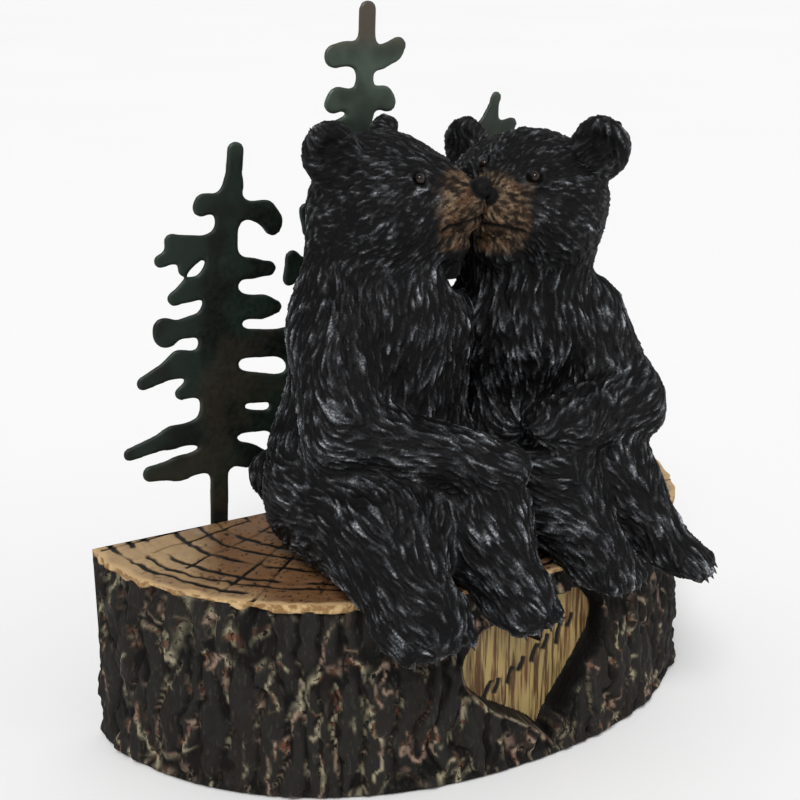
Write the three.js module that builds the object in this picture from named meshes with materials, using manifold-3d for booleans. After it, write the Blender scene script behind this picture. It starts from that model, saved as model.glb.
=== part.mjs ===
// Two bears kissing on a half log, with a cut-out row of pines behind. Millimetres, +Z up, faces look along -Y.
import * as THREE from "three";
import Module from "manifold-3d";

const wasm = await Module();
wasm.setup();

// Log: a half ellipse in plan with its flat side at the back.
const LOG_HALF_WIDTH = 80;
const LOG_DEPTH = 64;
const LOG_HEIGHT = 50;
const BACK_FACE_Y = 34;
const LEFT_FULLNESS = 2.0;
const RIGHT_FULLNESS = 2.35;
const BARK_RELIEF = 1.1;
const BARK_RIDGE_PITCH = 8.5;
const BARK_COLUMNS = 112;
const BACK_COLUMNS = 12;
const FOOT_CHAMFER = 1.2;
const FOOT_FLARE = 2.2;
const SEAT_GAP = 0.35;

// Heart recess in the bark.
const HEART_HALF_WIDTH = 21;
const HEART_HEIGHT = 39.5;
const HEART_X = 9.8;
const HEART_Z = 25.5;
const HEART_LEAN = THREE.MathUtils.degToRad(9);
const HEART_TURN = THREE.MathUtils.degToRad(5);
const HEART_DEPTH = 5.5;

// Tree plate.
const PLATE_THICKNESS = 1.2;
const PLATE_GAP = 0.3;
const TREE_FILLET = 2.6;
const TREE_STEP = 1.4;
const TREE_FLATNESS = 0.1;
const TRUNK_FOOT_Z = 30;
const TREE_SHIFT_X = 0.3;
const TREE_SHIFT_Z = -0.2;

// Bears.
const BEAR_STEP = 3.9;
const vec = (p) => new THREE.Vector3(...p);

function toSolid(positions, triangles) {
  return new wasm.Manifold(
    new wasm.Mesh({
      numProp: 3,
      vertProperties: new Float32Array(positions),
      triVerts: new Uint32Array(triangles),
    }),
  );
}

function toMesh(solid, name, colour, roughness, metalness) {
  const m = solid.getMesh();
  const positions = new Float32Array(m.numVert * 3);
  for (let i = 0; i < m.numVert; i++) {
    const from = i * m.numProp;
    positions.set(m.vertProperties.subarray(from, from + 3), i * 3);
  }
  const geometry = new THREE.BufferGeometry();
  geometry.setAttribute("position", new THREE.BufferAttribute(positions, 3));
  geometry.setIndex(new THREE.BufferAttribute(new Uint32Array(m.triVerts), 1));
  geometry.computeVertexNormals();
  const mesh = new THREE.Mesh(
    geometry,
    new THREE.MeshStandardMaterial({ color: colour, roughness, metalness, name }),
  );
  mesh.name = name;
  return mesh;
}

// ---------------------------------------------------------------- log

function logPlan(t, grow) {
  // t runs from 0 at the right back corner, round the bark, to pi at the left back corner.
  const c = Math.cos(t);
  const s = Math.sin(t);
  const power = 2 / (c > 0 ? RIGHT_FULLNESS : LEFT_FULLNESS);
  const x = (LOG_HALF_WIDTH + grow) * Math.sign(c) * Math.abs(c) ** power;
  const y = BACK_FACE_Y - (LOG_DEPTH + grow) * Math.abs(s) ** power;
  return [x, y];
}

function barkRidge(along, z) {
  const wander = 2.2 * Math.sin(z / 11 + along / 31) + 1.3 * Math.sin(z / 5.3 + along / 17);
  const ridge = Math.cos((2 * Math.PI * (along + wander)) / BARK_RIDGE_PITCH);
  const plates = Math.sin(z / 4.1 + 3 * Math.sin(along / 9));
  return BARK_RELIEF * (0.6 * ridge + 0.25 * plates - 0.2);
}

function logSolid(relief, grow, low, high) {
  const levels = relief ? [0, 2.5, 9, 17.5, 26, 34.5, 43, LOG_HEIGHT] : [low, high];
  const rim = levels.map((z, k) => {
    if (!relief) return 0;
    const edge = k === 0 ? -FOOT_CHAMFER : k === levels.length - 1 ? -0.6 : 0;
    return FOOT_FLARE * (1 - z / LOG_HEIGHT) ** 1.5 + edge;
  });
  const ring = [];
  let along = 0;
  let last = null;
  for (let i = 0; i <= BARK_COLUMNS; i++) {
    const p = logPlan((Math.PI * i) / BARK_COLUMNS, 0);
    if (last) along += Math.hypot(p[0] - last[0], p[1] - last[1]);
    last = p;
    ring.push({ t: (Math.PI * i) / BARK_COLUMNS, along, bark: i > 0 && i < BARK_COLUMNS });
  }
  const around = [];
  for (const q of ring) {
    around.push((level) => {
      const push = q.bark && relief ? barkRidge(q.along, levels[level]) : 0;
      const [x, y] = logPlan(q.t, grow + push + rim[level]);
      return [x, q.bark ? y : BACK_FACE_Y + grow];
    });
  }
  for (let i = 1; i < BACK_COLUMNS; i++) {
    const f = i / BACK_COLUMNS;
    around.push((level) => {
      const [x] = logPlan(Math.PI, grow + rim[level]);
      return [x * (1 - 2 * f), BACK_FACE_Y + grow];
    });
  }
  const n = around.length;
  const positions = [];
  const triangles = [];
  for (let k = 0; k < levels.length; k++) {
    for (let i = 0; i < n; i++) {
      const [x, y] = around[i](k);
      positions.push(x, y, levels[k]);
    }
  }
  for (let k = 0; k + 1 < levels.length; k++) {
    for (let i = 0; i < n; i++) {
      const j = (i + 1) % n;
      const a = k * n + i;
      const b = k * n + j;
      triangles.push(a, b + n, b, a, a + n, b + n);
    }
  }
  const bottom = positions.length / 3;
  positions.push(0, 8, levels[0]);
  positions.push(0, 8, levels[levels.length - 1]);
  const top = (levels.length - 1) * n;
  for (let i = 0; i < n; i++) {
    const j = (i + 1) % n;
    triangles.push(bottom, i, j);
    triangles.push(bottom + 1, top + j, top + i);
  }
  return toSolid(positions, triangles);
}

function heartPoint(t) {
  const x = Math.sin(t) ** 3;
  const y = (13 * Math.cos(t) - 5 * Math.cos(2 * t) - 2 * Math.cos(3 * t) - Math.cos(4 * t)) / 29;
  return [HEART_HALF_WIDTH * x, HEART_HEIGHT * y];
}

function heartCutter() {
  const steps = 56;
  const surface = LOG_DEPTH * Math.sqrt(1 - (HEART_X / LOG_HALF_WIDTH) ** 2);
  const centre = vec([HEART_X, BACK_FACE_Y - surface, HEART_Z]);
  const out = vec([Math.sin(HEART_TURN), -Math.cos(HEART_TURN), 0]);
  const side = vec([Math.cos(HEART_TURN), Math.sin(HEART_TURN), 0]);
  const positions = [];
  const triangles = [];
  for (const depth of [-HEART_DEPTH, 12]) {
    for (let i = 0; i < steps; i++) {
      const [u, w] = heartPoint((2 * Math.PI * (i + 0.5)) / steps);
      const across = u * Math.cos(HEART_LEAN) - w * Math.sin(HEART_LEAN);
      const up = u * Math.sin(HEART_LEAN) + w * Math.cos(HEART_LEAN);
      const p = centre.clone().addScaledVector(side, across).addScaledVector(out, depth);
      positions.push(p.x, p.y, p.z + up);
    }
  }
  const outline = [];
  for (let i = 0; i < steps; i++) {
    outline.push(new THREE.Vector2(...heartPoint((2 * Math.PI * (i + 0.5)) / steps)));
  }
  const faces = THREE.ShapeUtils.triangulateShape(outline, []);
  for (const [a, b, c] of faces) {
    triangles.push(a, c, b);
    triangles.push(a + steps, b + steps, c + steps);
  }
  for (let i = 0; i < steps; i++) {
    const j = (i + 1) % steps;
    triangles.push(i, j + steps, j, i, i + steps, j + steps);
  }
  let solid = toSolid(positions, triangles);
  if (solid.volume() < 0) {
    for (let i = 0; i < triangles.length; i += 3) {
      [triangles[i], triangles[i + 1]] = [triangles[i + 1], triangles[i]];
    }
    solid = toSolid(positions, triangles);
  }
  return solid;
}

// ---------------------------------------------------------------- distance tools

const limb = (a, b, ra, rb, blend) => ({ a: vec(a), b: vec(b), ra, rb, blend });

function egg(centre, radii, face, blend) {
  const f = vec(face).normalize();
  const s = f.clone().cross(vec([0, 0, 1])).normalize();
  const u = s.clone().cross(f);
  return { centre: vec(centre), radii, axes: [f, s, u], blend };
}

function distance(p, shape) {
  if (shape.axes) {
    const q = p.clone().sub(shape.centre);
    let k0 = 0;
    let k1 = 0;
    for (let i = 0; i < 3; i++) {
      const v = q.dot(shape.axes[i]) / shape.radii[i];
      k0 += v * v;
      k1 += (v / shape.radii[i]) ** 2;
    }
    k0 = Math.sqrt(k0);
    return (k0 * (k0 - 1)) / Math.max(Math.sqrt(k1), 1e-9);
  }
  const along = shape.b.clone().sub(shape.a);
  const q = p.clone().sub(shape.a);
  const t = THREE.MathUtils.clamp(q.dot(along) / along.lengthSq(), 0, 1);
  return q.addScaledVector(along, -t).length() - (shape.ra + (shape.rb - shape.ra) * t);
}

function blendMin(a, b, k) {
  const h = Math.max(k - Math.abs(a - b), 0) / k;
  return Math.min(a, b) - (h * h * k) / 4;
}

function field(p, shapes) {
  let d = 1e3;
  for (const s of shapes) d = blendMin(d, distance(p, s), s.blend);
  return d;
}

// ---------------------------------------------------------------- bears

function head(centre, facing, scale, muzzle, ears, wide) {
  const f = vec(facing).normalize();
  const r = f.clone().cross(vec([0, 0, 1]));
  const c = vec(centre);
  const at = (ahead, right, up) => [
    c.x + scale * (ahead * f.x + right * r.x),
    c.y + scale * (ahead * f.y + right * r.y),
    c.z + scale * up,
  ];
  const size = (a, b, d) => [a * scale, b * scale, d * scale];
  const shapes = [
    egg(at(0, 0, 0), size(15.5, wide, 14), facing, 4),
    egg(at(-2, 0, 4.2), size(11, 13, 10), facing, 3),
    limb(at(9, 0, -1.5), at(9 + muzzle, 0, -0.4), 9 * scale, 6.4 * scale, 4),
    limb(at(9, 0, -9), at(6.5 + muzzle, 0, -8.6), 8 * scale, 5.4 * scale, 2),
    egg(at(10, 0, 4.5), size(7.5, 5, 4.5), facing, 4),
    egg(at(14.8 + muzzle, 0, 4), size(2.2, 3.1, 2.3), facing, 1.2),
  ];
  for (const side of [1, -1]) {
    shapes.push(egg(at(4, side * (wide - 9), -4.5), size(9.5, 8.5, 9), facing, 4));
    shapes.push(egg(at(9, side * 6.5, 5.5), size(4, 4.4, 3.2), facing, 2.5));
  }
  for (const [ahead, out, up, half, turn] of ears) {
    const earFacing = f.clone().multiplyScalar(Math.cos(turn)).addScaledVector(r, Math.sin(turn) * Math.sign(out));
    shapes.push(egg(at(ahead, out, up), size(4, half, 1.08 * half), earFacing.toArray(), 2.5));
  }
  return shapes;
}

const LEFT_FACING = [0.68, -0.73, 0];
const RIGHT_FACING = [-0.86, -0.51, 0];

// Ears: ahead of the head's middle, out to the bear's right, up, half width, turned outwards by.
const LEFT_EARS = [
  [-7.2, 13, 11.6, 6.3, 0.85],
  [-4, -12.4, 10, 5.8, 0.4],
];
const RIGHT_EARS = [
  [-4.5, 18.2, 9, 6.3, 0.3],
  [-4, -15.8, 11.6, 6.5, 0.25],
];

// The gap left open between the two throats.
const THROAT_GAP = limb([-7, -17, 122.5], [9, 13, 110.5], 2.8, 2.8, 1);

const leftBear = [
  egg([-16, 11, 69.5], [23.5, 22.5, 20.5], [0, -1, 0], 6),
  limb([-15, 9.5, 74], [-13.2, 9, 98], 23.3, 20.3, 8),
  egg([-14, 8, 104], [16, 21.6, 16], [0, -1, 0], 8),
  limb([-14.4, 9, 108], [-15.5, 9, 129], 17.6, 15, 8),
  ...head([-12.8, 8, 134.5], LEFT_FACING, 1.05, 7.5, LEFT_EARS, 16.5),
  limb([-29, 1, 104], [-32, -9, 86], 10.5, 9.5, 4),
  limb([-32, -9, 86], [-9, -26, 80], 9, 7, 3),
  egg([-3, -28, 79], [7.5, 6.5, 6], [0.9, -0.4, -0.1], 3),
  limb([3, 12, 103], [12, 24, 92], 9.5, 8, 5),
  limb([12, 24, 92], [24, 26.5, 88], 8, 7, 4),
  egg([29, 26.5, 87], [7, 6, 6], [1, 0, 0], 3),
  limb([-28.5, 3, 66], [-28, -20, 63], 17.5, 14, 6),
  limb([-28, -20, 63], [-28, -32, 53], 13.5, 10, 4),
  egg([-27, -36, 49], [9, 12, 7.5], [0.1, -1, -0.5], 4),
  limb([-6, 2, 66], [-5, -22, 64], 16, 13, 6),
  limb([-5, -22, 64], [-3, -33, 52], 12.5, 8.5, 4),
  egg([-2, -37, 49], [8, 8.5, 6], [0.2, -1, -0.5], 4),
  egg([-35, 26, 63.5], [6, 5, 7], [-1, 1, 0], 3),
];

const rightBear = [
  egg([25, 11, 67], [20, 21, 18], [0, -1, 0], 6),
  limb([25, 10, 71], [25.5, 8, 94], 19, 16, 8),
  egg([26, 7, 99.5], [14, 19, 14], [0, -1, 0], 8),
  limb([25, 7, 104], [26.3, 5, 124], 15.5, 16.4, 8),
  ...head([24.8, 5, 132.3], RIGHT_FACING, 1.06, 7, RIGHT_EARS, 19),
  limb([40, 2, 101], [43.6, -12, 81], 10.8, 10, 4),
  limb([43.3, -12, 81], [20, -22, 83], 10, 7, 4),
  egg([14, -22.5, 84.5], [7, 6, 5.5], [-0.95, -0.2, 0.1], 3),
  limb([12, 12, 98], [4, 22, 86], 9, 8, 5),
  limb([4, 22, 86], [-12, 26, 84], 8, 7, 4),
  limb([20, 4, 65], [17, -18, 67], 15, 12.5, 6),
  limb([17, -18, 67], [21.5, -31, 55], 12, 8.5, 4),
  egg([24.5, -35, 50.5], [7, 8, 5.5], [0.3, -1, -0.4], 4),
  limb([33, 4, 65], [37, -20, 65], 13, 9.8, 5),
  limb([37, -20, 65], [40.6, -30, 55], 9.8, 7.3, 4),
  egg([44.8, -35, 49.5], [8.5, 7, 5], [0.6, -0.8, -0.35], 4),
];

function skin(valueAt, low, high, step) {
  // One vertex in each cell the surface passes through, one four-sided face for each grid edge it crosses.
  const n = [0, 1, 2].map((i) => Math.ceil((high[i] - low[i]) / step) + 1);
  const index = (i, j, k) => (k * n[1] + j) * n[0] + i;
  const d = new Float64Array(n[0] * n[1] * n[2]);
  for (let k = 0; k < n[2]; k++) {
    for (let j = 0; j < n[1]; j++) {
      for (let i = 0; i < n[0]; i++) {
        d[index(i, j, k)] = valueAt(low[0] + i * step, low[1] + j * step, low[2] + k * step);
      }
    }
  }
  const corners = [];
  for (let c = 0; c < 8; c++) corners.push([c & 1, (c >> 1) & 1, c >> 2]);
  const cellCorners = (i, j, k) => corners.map(([a, b, c]) => index(i + a, j + b, k + c));
  // Close the corners where two parts of the surface would meet only at an edge or a point.
  let changed = true;
  for (let pass = 0; changed && pass < 40; pass++) {
    changed = false;
    for (let k = 0; k + 1 < n[2]; k++) {
      for (let j = 0; j + 1 < n[1]; j++) {
        for (let i = 0; i + 1 < n[0]; i++) {
          const ids = cellCorners(i, j, k);
          const inside = ids.map((q) => d[q] < 0);
          const count = inside.filter(Boolean).length;
          if (count === 0 || count === 8) continue;
          let bad = pieces(inside, true) > 1 || pieces(inside, false) > 1;
          for (const bit of [1, 2, 4]) {
            const [p, q] = [1, 2, 4].filter((b) => b !== bit);
            for (const base of [0, bit]) {
              const f = [base, base | p, base | q, base | p | q].map((c) => inside[c]);
              if (f[0] === f[3] && f[1] === f[2] && f[0] !== f[1]) bad = true;
            }
          }
          if (!bad) continue;
          let best = -1;
          for (let c = 0; c < 8; c++) {
            if (!inside[c] && (best < 0 || d[ids[c]] < d[ids[best]])) best = c;
          }
          d[ids[best]] = -0.05 * step;
          changed = true;
        }
      }
    }
  }
  const vertexOf = new Map();
  const positions = [];
  for (let k = 0; k + 1 < n[2]; k++) {
    for (let j = 0; j + 1 < n[1]; j++) {
      for (let i = 0; i + 1 < n[0]; i++) {
        const ids = cellCorners(i, j, k);
        const sum = [0, 0, 0];
        let hits = 0;
        for (let c = 0; c < 8; c++) {
          for (let axis = 0; axis < 3; axis++) {
            const e = c | (1 << axis);
            if (e === c) continue;
            const va = d[ids[c]];
            const vb = d[ids[e]];
            if (va < 0 === vb < 0) continue;
            const t = THREE.MathUtils.clamp(va / (va - vb), 0.04, 0.96);
            for (let q = 0; q < 3; q++) sum[q] += corners[c][q] + (q === axis ? t : 0);
            hits++;
          }
        }
        if (!hits) continue;
        vertexOf.set(index(i, j, k), positions.length / 3);
        positions.push(low[0] + step * (i + sum[0] / hits));
        positions.push(low[1] + step * (j + sum[1] / hits));
        positions.push(low[2] + step * (k + sum[2] / hits));
      }
    }
  }
  const triangles = [];
  const point = (q) => vec(positions.slice(3 * q, 3 * q + 3));
  for (let k = 1; k + 1 < n[2]; k++) {
    for (let j = 1; j + 1 < n[1]; j++) {
      for (let i = 1; i + 1 < n[0]; i++) {
        for (let axis = 0; axis < 3; axis++) {
          const here = [i, j, k];
          const next = [i, j, k];
          next[axis]++;
          const a = d[index(...here)] < 0;
          const b = d[index(...next)] < 0;
          if (a === b) continue;
          const u = (axis + 1) % 3;
          const v = (axis + 2) % 3;
          const quad = [[1, 1], [0, 1], [0, 0], [1, 0]].map(([du, dv]) => {
            const q = [...here];
            q[u] -= du;
            q[v] -= dv;
            return vertexOf.get(index(...q));
          });
          if (!a) quad.reverse();
          const [p0, p1, p2, p3] = quad;
          if (point(p0).distanceTo(point(p2)) < point(p1).distanceTo(point(p3))) {
            triangles.push(p0, p1, p2, p0, p2, p3);
          } else {
            triangles.push(p1, p2, p3, p1, p3, p0);
          }
        }
      }
    }
  }
  return toSolid(positions, triangles);
}

function pieces(inside, wanted) {
  const seen = new Set();
  let found = 0;
  for (let c = 0; c < 8; c++) {
    if (inside[c] !== wanted || seen.has(c)) continue;
    found++;
    const queue = [c];
    while (queue.length) {
      const q = queue.pop();
      if (seen.has(q)) continue;
      seen.add(q);
      for (const bit of [1, 2, 4]) if (inside[q ^ bit] === wanted) queue.push(q ^ bit);
    }
  }
  return found;
}

function bearSolid() {
  const probe = new THREE.Vector3();
  const valueAt = (x, y, z) => {
    probe.set(x, y, z);
    const both = blendMin(field(probe, leftBear), field(probe, rightBear), 1.5);
    return Math.max(both, -distance(probe, THROAT_GAP), y - BACK_FACE_Y + SEAT_GAP);
  };
  return skin(valueAt, [-56, -52, 36], [66, 42, 160], BEAR_STEP);
}

// ---------------------------------------------------------------- trees

// Each stroke is a run of [x, z, half width].
const leftTree = [
  [[-38.5, 144, 2.1], [-39.5, 135.5, 2], [-41, 128.5, 2.6], [-43.5, 114.5, 4.1], [-44.6, 99.5, 4.8]],
  [[-44.6, 99.5, 4.8], [-45.3, 80.5, 4.6], [-46, 67.5, 2.4], [-47.5, TRUNK_FOOT_Z, 2.3]],
  [[-41.5, 132, 2.5], [-47, 132, 1.9], [-48, 131, 1.6]],
  [[-38, 130, 2.2], [-31.5, 128.5, 2.4], [-29.5, 126, 2], [-29.5, 124.5, 1.7]],
  [[-44.5, 122, 2.8], [-51.5, 122, 2.3], [-55.5, 124, 1.8]],
  [[-53.5, 121, 2.1], [-58.5, 119.5, 1.6]],
  [[-51, 119.5, 1.8], [-53, 116.5, 1.2]],
  [[-40.5, 116, 3.1], [-35.5, 115, 2], [-31, 114.5, 1.9]],
  [[-46.5, 113, 2.5], [-51.5, 111.5, 2.2], [-55.5, 110, 1.8]],
  [[-41, 106, 3.8], [-33, 105, 2.5], [-29.5, 104.5, 1.7]],
  [[-46, 104, 2.8], [-52.5, 102.4, 2], [-58.5, 102, 2.2], [-59, 103.5, 1.7]],
  [[-58, 102, 2.2], [-58, 100.5, 2.1]],
  [[-47.5, 92.5, 3.8], [-55, 93.5, 2.8], [-64.5, 90, 1.7]],
  [[-50, 87.5, 3.2], [-55, 86, 1.7]],
  [[-48, 75.5, 3.9], [-58, 75, 2.4], [-69, 72.5, 1.6]],
  [[-47, 68, 3.6], [-56.5, 66.5, 2.7], [-64, 66.5, 2.1]],
  [[-45, 69, 4], [-38, 66.5, 2.6], [-34.5, 66, 1.5]],
];

const middleTree = [
  [[-3, 175, 2.2], [-3.5, 166, 2.2], [-4.5, 152, 2.5], [-5.5, 140, 3.4], [-6, 110, 4.4], [-6.5, 80, 4.4]],
  [[-6.5, 80, 4.4], [-7, 64, 2.6], [-7, TRUNK_FOOT_Z, 2.4]],
  [[-5.5, 164, 2.5], [-9, 165, 2.3], [-12, 164.5, 2.8]],
  [[-3, 163.5, 2.1], [0.5, 163.5, 2.1], [4, 165, 2], [5.5, 166.5, 1.7]],
  [[-5.5, 154, 2], [-9, 154, 1.8], [-11.5, 154.5, 2], [-13, 153, 1.9]],
  [[-2.5, 154, 2], [1, 154, 2.2], [2.5, 152.5, 2]],
  [[-6.5, 148.5, 2], [-12, 147.5, 1.6]],
  [[-3, 144, 2.4], [5, 142.5, 2], [8, 141, 1.7]],
  [[-7, 138, 2.8], [-14, 136, 2.2], [-17, 136, 1.8]],
  [[-7, 128, 3], [-14, 126, 2.2], [-19.5, 126, 1.8], [-20.5, 128, 1.7]],
  [[-18.5, 125, 1.7], [-20, 122.5, 1.4]],
  [[-4, 130, 3], [6, 127.5, 2.4], [10, 125, 2]],
  [[-8, 116, 3.2], [-17, 113.5, 2.4], [-24, 114, 1.8], [-24.5, 116.5, 1.8]],
  [[-22, 113, 1.6], [-25.5, 111, 1.6]],
  [[-4, 114, 3.4], [8, 111, 2.6], [14, 111.5, 1.9]],
  [[-9, 97.5, 4], [-26, 94.8, 3.4], [-40.5, 96.5, 3.8]],
  [[-24.5, 95, 2.8], [-24.5, 84, 2.2]],
  [[-8, 85.5, 4.4], [-26, 82.6, 3.3], [-44.5, 86, 4.6]],
  [[-8, 76, 3.4], [-29.5, 74.6, 2.4], [-43.5, 76.5, 3.4]],
  [[-28, 78.5, 3], [-28.6, 69.5, 2.6]],
  [[-8, 66, 3], [-16, 63, 2.4]],
];

const rightTree = [
  [[34, 152, 1.4], [32.5, 147, 1.5], [31.5, 143.5, 2.6], [31, 120, 3.6], [30.5, 82, 4.2]],
  [[30.5, 82, 4.2], [30, 66, 2.6], [30, TRUNK_FOOT_Z, 2.4]],
  [[33, 143.5, 1.6], [37.5, 144, 1.4], [39, 145, 1.3]],
  [[31.5, 144, 1.6], [28.5, 143, 1.5]],
];

function spreadBranches(trunkX, top, count, reach, spread) {
  // The branches behind the bears, longer towards the ground.
  const strokes = [];
  for (let i = 0; i < count; i++) {
    const z = top - i * 11;
    for (const side of [-1, 1]) {
      const out = side * (reach + spread * i + (side > 0 ? 1.5 * (i % 2) : 2 - 1.5 * (i % 2)));
      const width = 2.2 + 0.18 * i;
      const tip = [trunkX + out, z - 3 + (i % 2), width * 0.8];
      strokes.push([[trunkX, z + 1, width + 0.8], [trunkX + 0.6 * out, z - 1.5, width], tip]);
    }
  }
  return strokes;
}

const treeStrokes = [
  ...leftTree,
  ...middleTree,
  ...rightTree,
  ...spreadBranches(31, 132, 6, 9, 1.7),
  ...spreadBranches(-5, 99, 3, 15, 3.5).filter((s) => s[2][0] > -5),
];

const treeLimbs = treeStrokes.flatMap((s) =>
  s.slice(1).map((q, i) => limb([s[i][0], 0, s[i][1]], [q[0], 0, q[1]], s[i][2], q[2], TREE_FILLET)),
);

function outlines(valueAt, low, high, step) {
  const nx = Math.ceil((high[0] - low[0]) / step);
  const nz = Math.ceil((high[1] - low[1]) / step);
  const grid = [];
  for (let j = 0; j <= nz; j++) {
    grid.push([]);
    for (let i = 0; i <= nx; i++) grid[j].push(valueAt(low[0] + i * step, low[1] + j * step));
  }
  // Each crossing is keyed by its grid edge; each cell links the crossings on its sides.
  const links = new Map();
  const places = new Map();
  const crossing = (i0, j0, i1, j1) => {
    const key = i0 + "," + j0 + "," + i1 + "," + j1;
    const a = grid[j0][i0];
    const t = THREE.MathUtils.clamp(a / (a - grid[j1][i1]), 0.06, 0.94);
    places.set(key, [low[0] + step * (i0 + t * (i1 - i0)), low[1] + step * (j0 + t * (j1 - j0))]);
    return key;
  };
  for (let j = 0; j < nz; j++) {
    for (let i = 0; i < nx; i++) {
      const corner = [[i, j], [i + 1, j], [i + 1, j + 1], [i, j + 1]];
      const inside = corner.map(([a, b]) => grid[b][a] < 0);
      const enter = [];
      const leave = [];
      for (let e = 0; e < 4; e++) {
        const f = (e + 1) % 4;
        if (inside[e] === inside[f]) continue;
        const low0 = e < 2 ? corner[e] : corner[f];
        const high0 = e < 2 ? corner[f] : corner[e];
        (inside[e] ? leave : enter).push([e, crossing(...low0, ...high0)]);
      }
      for (const [e, key] of enter) {
        // Walk round from where the border comes in to the next side where it goes out.
        let best = null;
        for (const q of leave) {
          const turn = (q[0] - e + 4) % 4;
          if (!best || turn < best[0]) best = [turn, q[1]];
        }
        links.set(best[1], key);
      }
    }
  }
  const loops = [];
  while (links.size) {
    const start = links.keys().next().value;
    const loop = [];
    let key = start;
    while (links.has(key)) {
      loop.push(places.get(key));
      const next = links.get(key);
      links.delete(key);
      key = next;
    }
    loops.push(thin(loop));
  }
  return loops;
}

function thin(loop) {
  // Drop points that lie on the line between the points kept on either side.
  const kept = [loop[0]];
  let from = 0;
  while (from < loop.length - 1) {
    let to = from + 1;
    while (to + 1 < loop.length && to - from < 8 && straight(loop, from, to + 1)) to++;
    kept.push(loop[to]);
    from = to;
  }
  return kept;
}

function straight(loop, from, to) {
  const [ax, ay] = loop[from];
  const [bx, by] = loop[to];
  const length = Math.hypot(bx - ax, by - ay) || 1e-9;
  for (let i = from + 1; i < to; i++) {
    const [x, y] = loop[i];
    if (Math.abs((bx - ax) * (y - ay) - (by - ay) * (x - ax)) / length > TREE_FLATNESS) return false;
  }
  return true;
}

function treeSolid() {
  const probe = new THREE.Vector3();
  const valueAt = (x, z) => field(probe.set(x, 0, z), treeLimbs);
  const loops = outlines(valueAt, [-76, 24], [62, 182], TREE_STEP).filter((l) => l.length > 4);
  const rings = loops.map((l) => l.map(([x, z]) => new THREE.Vector2(x, z)));
  rings.sort((a, b) => Math.abs(THREE.ShapeUtils.area(b)) - Math.abs(THREE.ShapeUtils.area(a)));
  const border = rings[0];
  if (THREE.ShapeUtils.isClockWise(border)) border.reverse();
  const holes = rings.slice(1).filter((h) => Math.abs(THREE.ShapeUtils.area(h)) > 1);
  for (const h of holes) if (!THREE.ShapeUtils.isClockWise(h)) h.reverse();
  const faces = THREE.ShapeUtils.triangulateShape(border, holes);
  const all = [border, ...holes];
  const flat = all.flat();
  const count = flat.length;
  const near = BACK_FACE_Y + PLATE_GAP;
  const positions = [];
  for (const y of [near, near + PLATE_THICKNESS]) for (const p of flat) {
    positions.push(p.x + TREE_SHIFT_X, y, p.y + TREE_SHIFT_Z);
  }
  const triangles = [];
  for (const [a, b, c] of faces) {
    triangles.push(a, b, c);
    triangles.push(a + count, c + count, b + count);
  }
  let first = 0;
  for (const ring of all) {
    for (let i = 0; i < ring.length; i++) {
      const p = first + i;
      const q = first + ((i + 1) % ring.length);
      triangles.push(p, p + count, q + count, p, q + count, q);
    }
    first += ring.length;
  }
  return toSolid(positions, triangles);
}

// ---------------------------------------------------------------- assembly

const log = logSolid(true, 0, 0, 0).subtract(heartCutter());
const seat = logSolid(false, SEAT_GAP, -5, LOG_HEIGHT + SEAT_GAP);
let bears = bearSolid().subtract(seat);
const bodies = bears.decompose();
bodies.sort((a, b) => b.volume() - a.volume());
bears = bodies[0];

const group = new THREE.Group();
group.name = "kissing_bears_on_log";
group.add(toMesh(bears, "bear_pair", 0x1c1d1c, 0.55, 0));
group.add(toMesh(log, "log_base", 0x4a3f33, 0.8, 0));
group.add(toMesh(treeSolid(), "pine_tree_plate", 0x1f2a22, 0.5, 0.6));

export default group;
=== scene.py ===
import math

import bpy
import numpy as np
from mathutils import Matrix, Vector
from mathutils.kdtree import KDTree


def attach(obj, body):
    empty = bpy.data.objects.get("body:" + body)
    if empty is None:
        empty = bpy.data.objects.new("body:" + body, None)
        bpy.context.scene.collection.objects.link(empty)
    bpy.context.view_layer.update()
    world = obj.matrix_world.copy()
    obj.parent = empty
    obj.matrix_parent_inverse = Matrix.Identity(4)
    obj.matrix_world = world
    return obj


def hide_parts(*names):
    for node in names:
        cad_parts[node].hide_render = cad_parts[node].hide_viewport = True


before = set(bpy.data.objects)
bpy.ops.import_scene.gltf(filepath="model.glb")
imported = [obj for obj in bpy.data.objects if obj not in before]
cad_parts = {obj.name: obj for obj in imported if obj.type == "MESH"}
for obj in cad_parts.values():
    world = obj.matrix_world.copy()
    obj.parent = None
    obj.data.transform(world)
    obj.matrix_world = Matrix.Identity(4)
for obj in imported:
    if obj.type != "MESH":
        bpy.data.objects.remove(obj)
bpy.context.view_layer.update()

MM = 0.001
UP = np.array([0.0, 0.0, 1.0])

# The log's plan and the heart recess, in millimetres, as on the solid.
LOG_HALF_WIDTH = 80.0
LOG_DEPTH = 64.0
LOG_HEIGHT = 50.0
BACK_FACE_Y = 34.0
LEFT_FULLNESS = 2.0
RIGHT_FULLNESS = 2.35
FOOT_FLARE = 2.2
BACK_CORNER = 3.2
HEART_HALF_WIDTH = 21.0
HEART_HEIGHT = 39.5
HEART_X = 9.8
HEART_Z = 25.5
HEART_LEAN = math.radians(9)
HEART_TURN = math.radians(5)
HEART_DEPTH = 5.5
BACK_GAP = 0.35  # how far the bears stop short of the plane of the log's back


# ---------------------------------------------------------------- number tools


def unit(v):
    v = np.asarray(v, float)
    return v / np.linalg.norm(v)


def smooth(low, high, x):
    t = np.clip((x - low) / (high - low), 0.0, 1.0)
    return t * t * (3 - 2 * t)


HASH = np.random.default_rng(11).random(65536)


def hashed(i, j, k, seed):
    return HASH[(i * 73856093 ^ j * 19349663 ^ k * 83492791 ^ seed * 2654435) & 65535]


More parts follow.
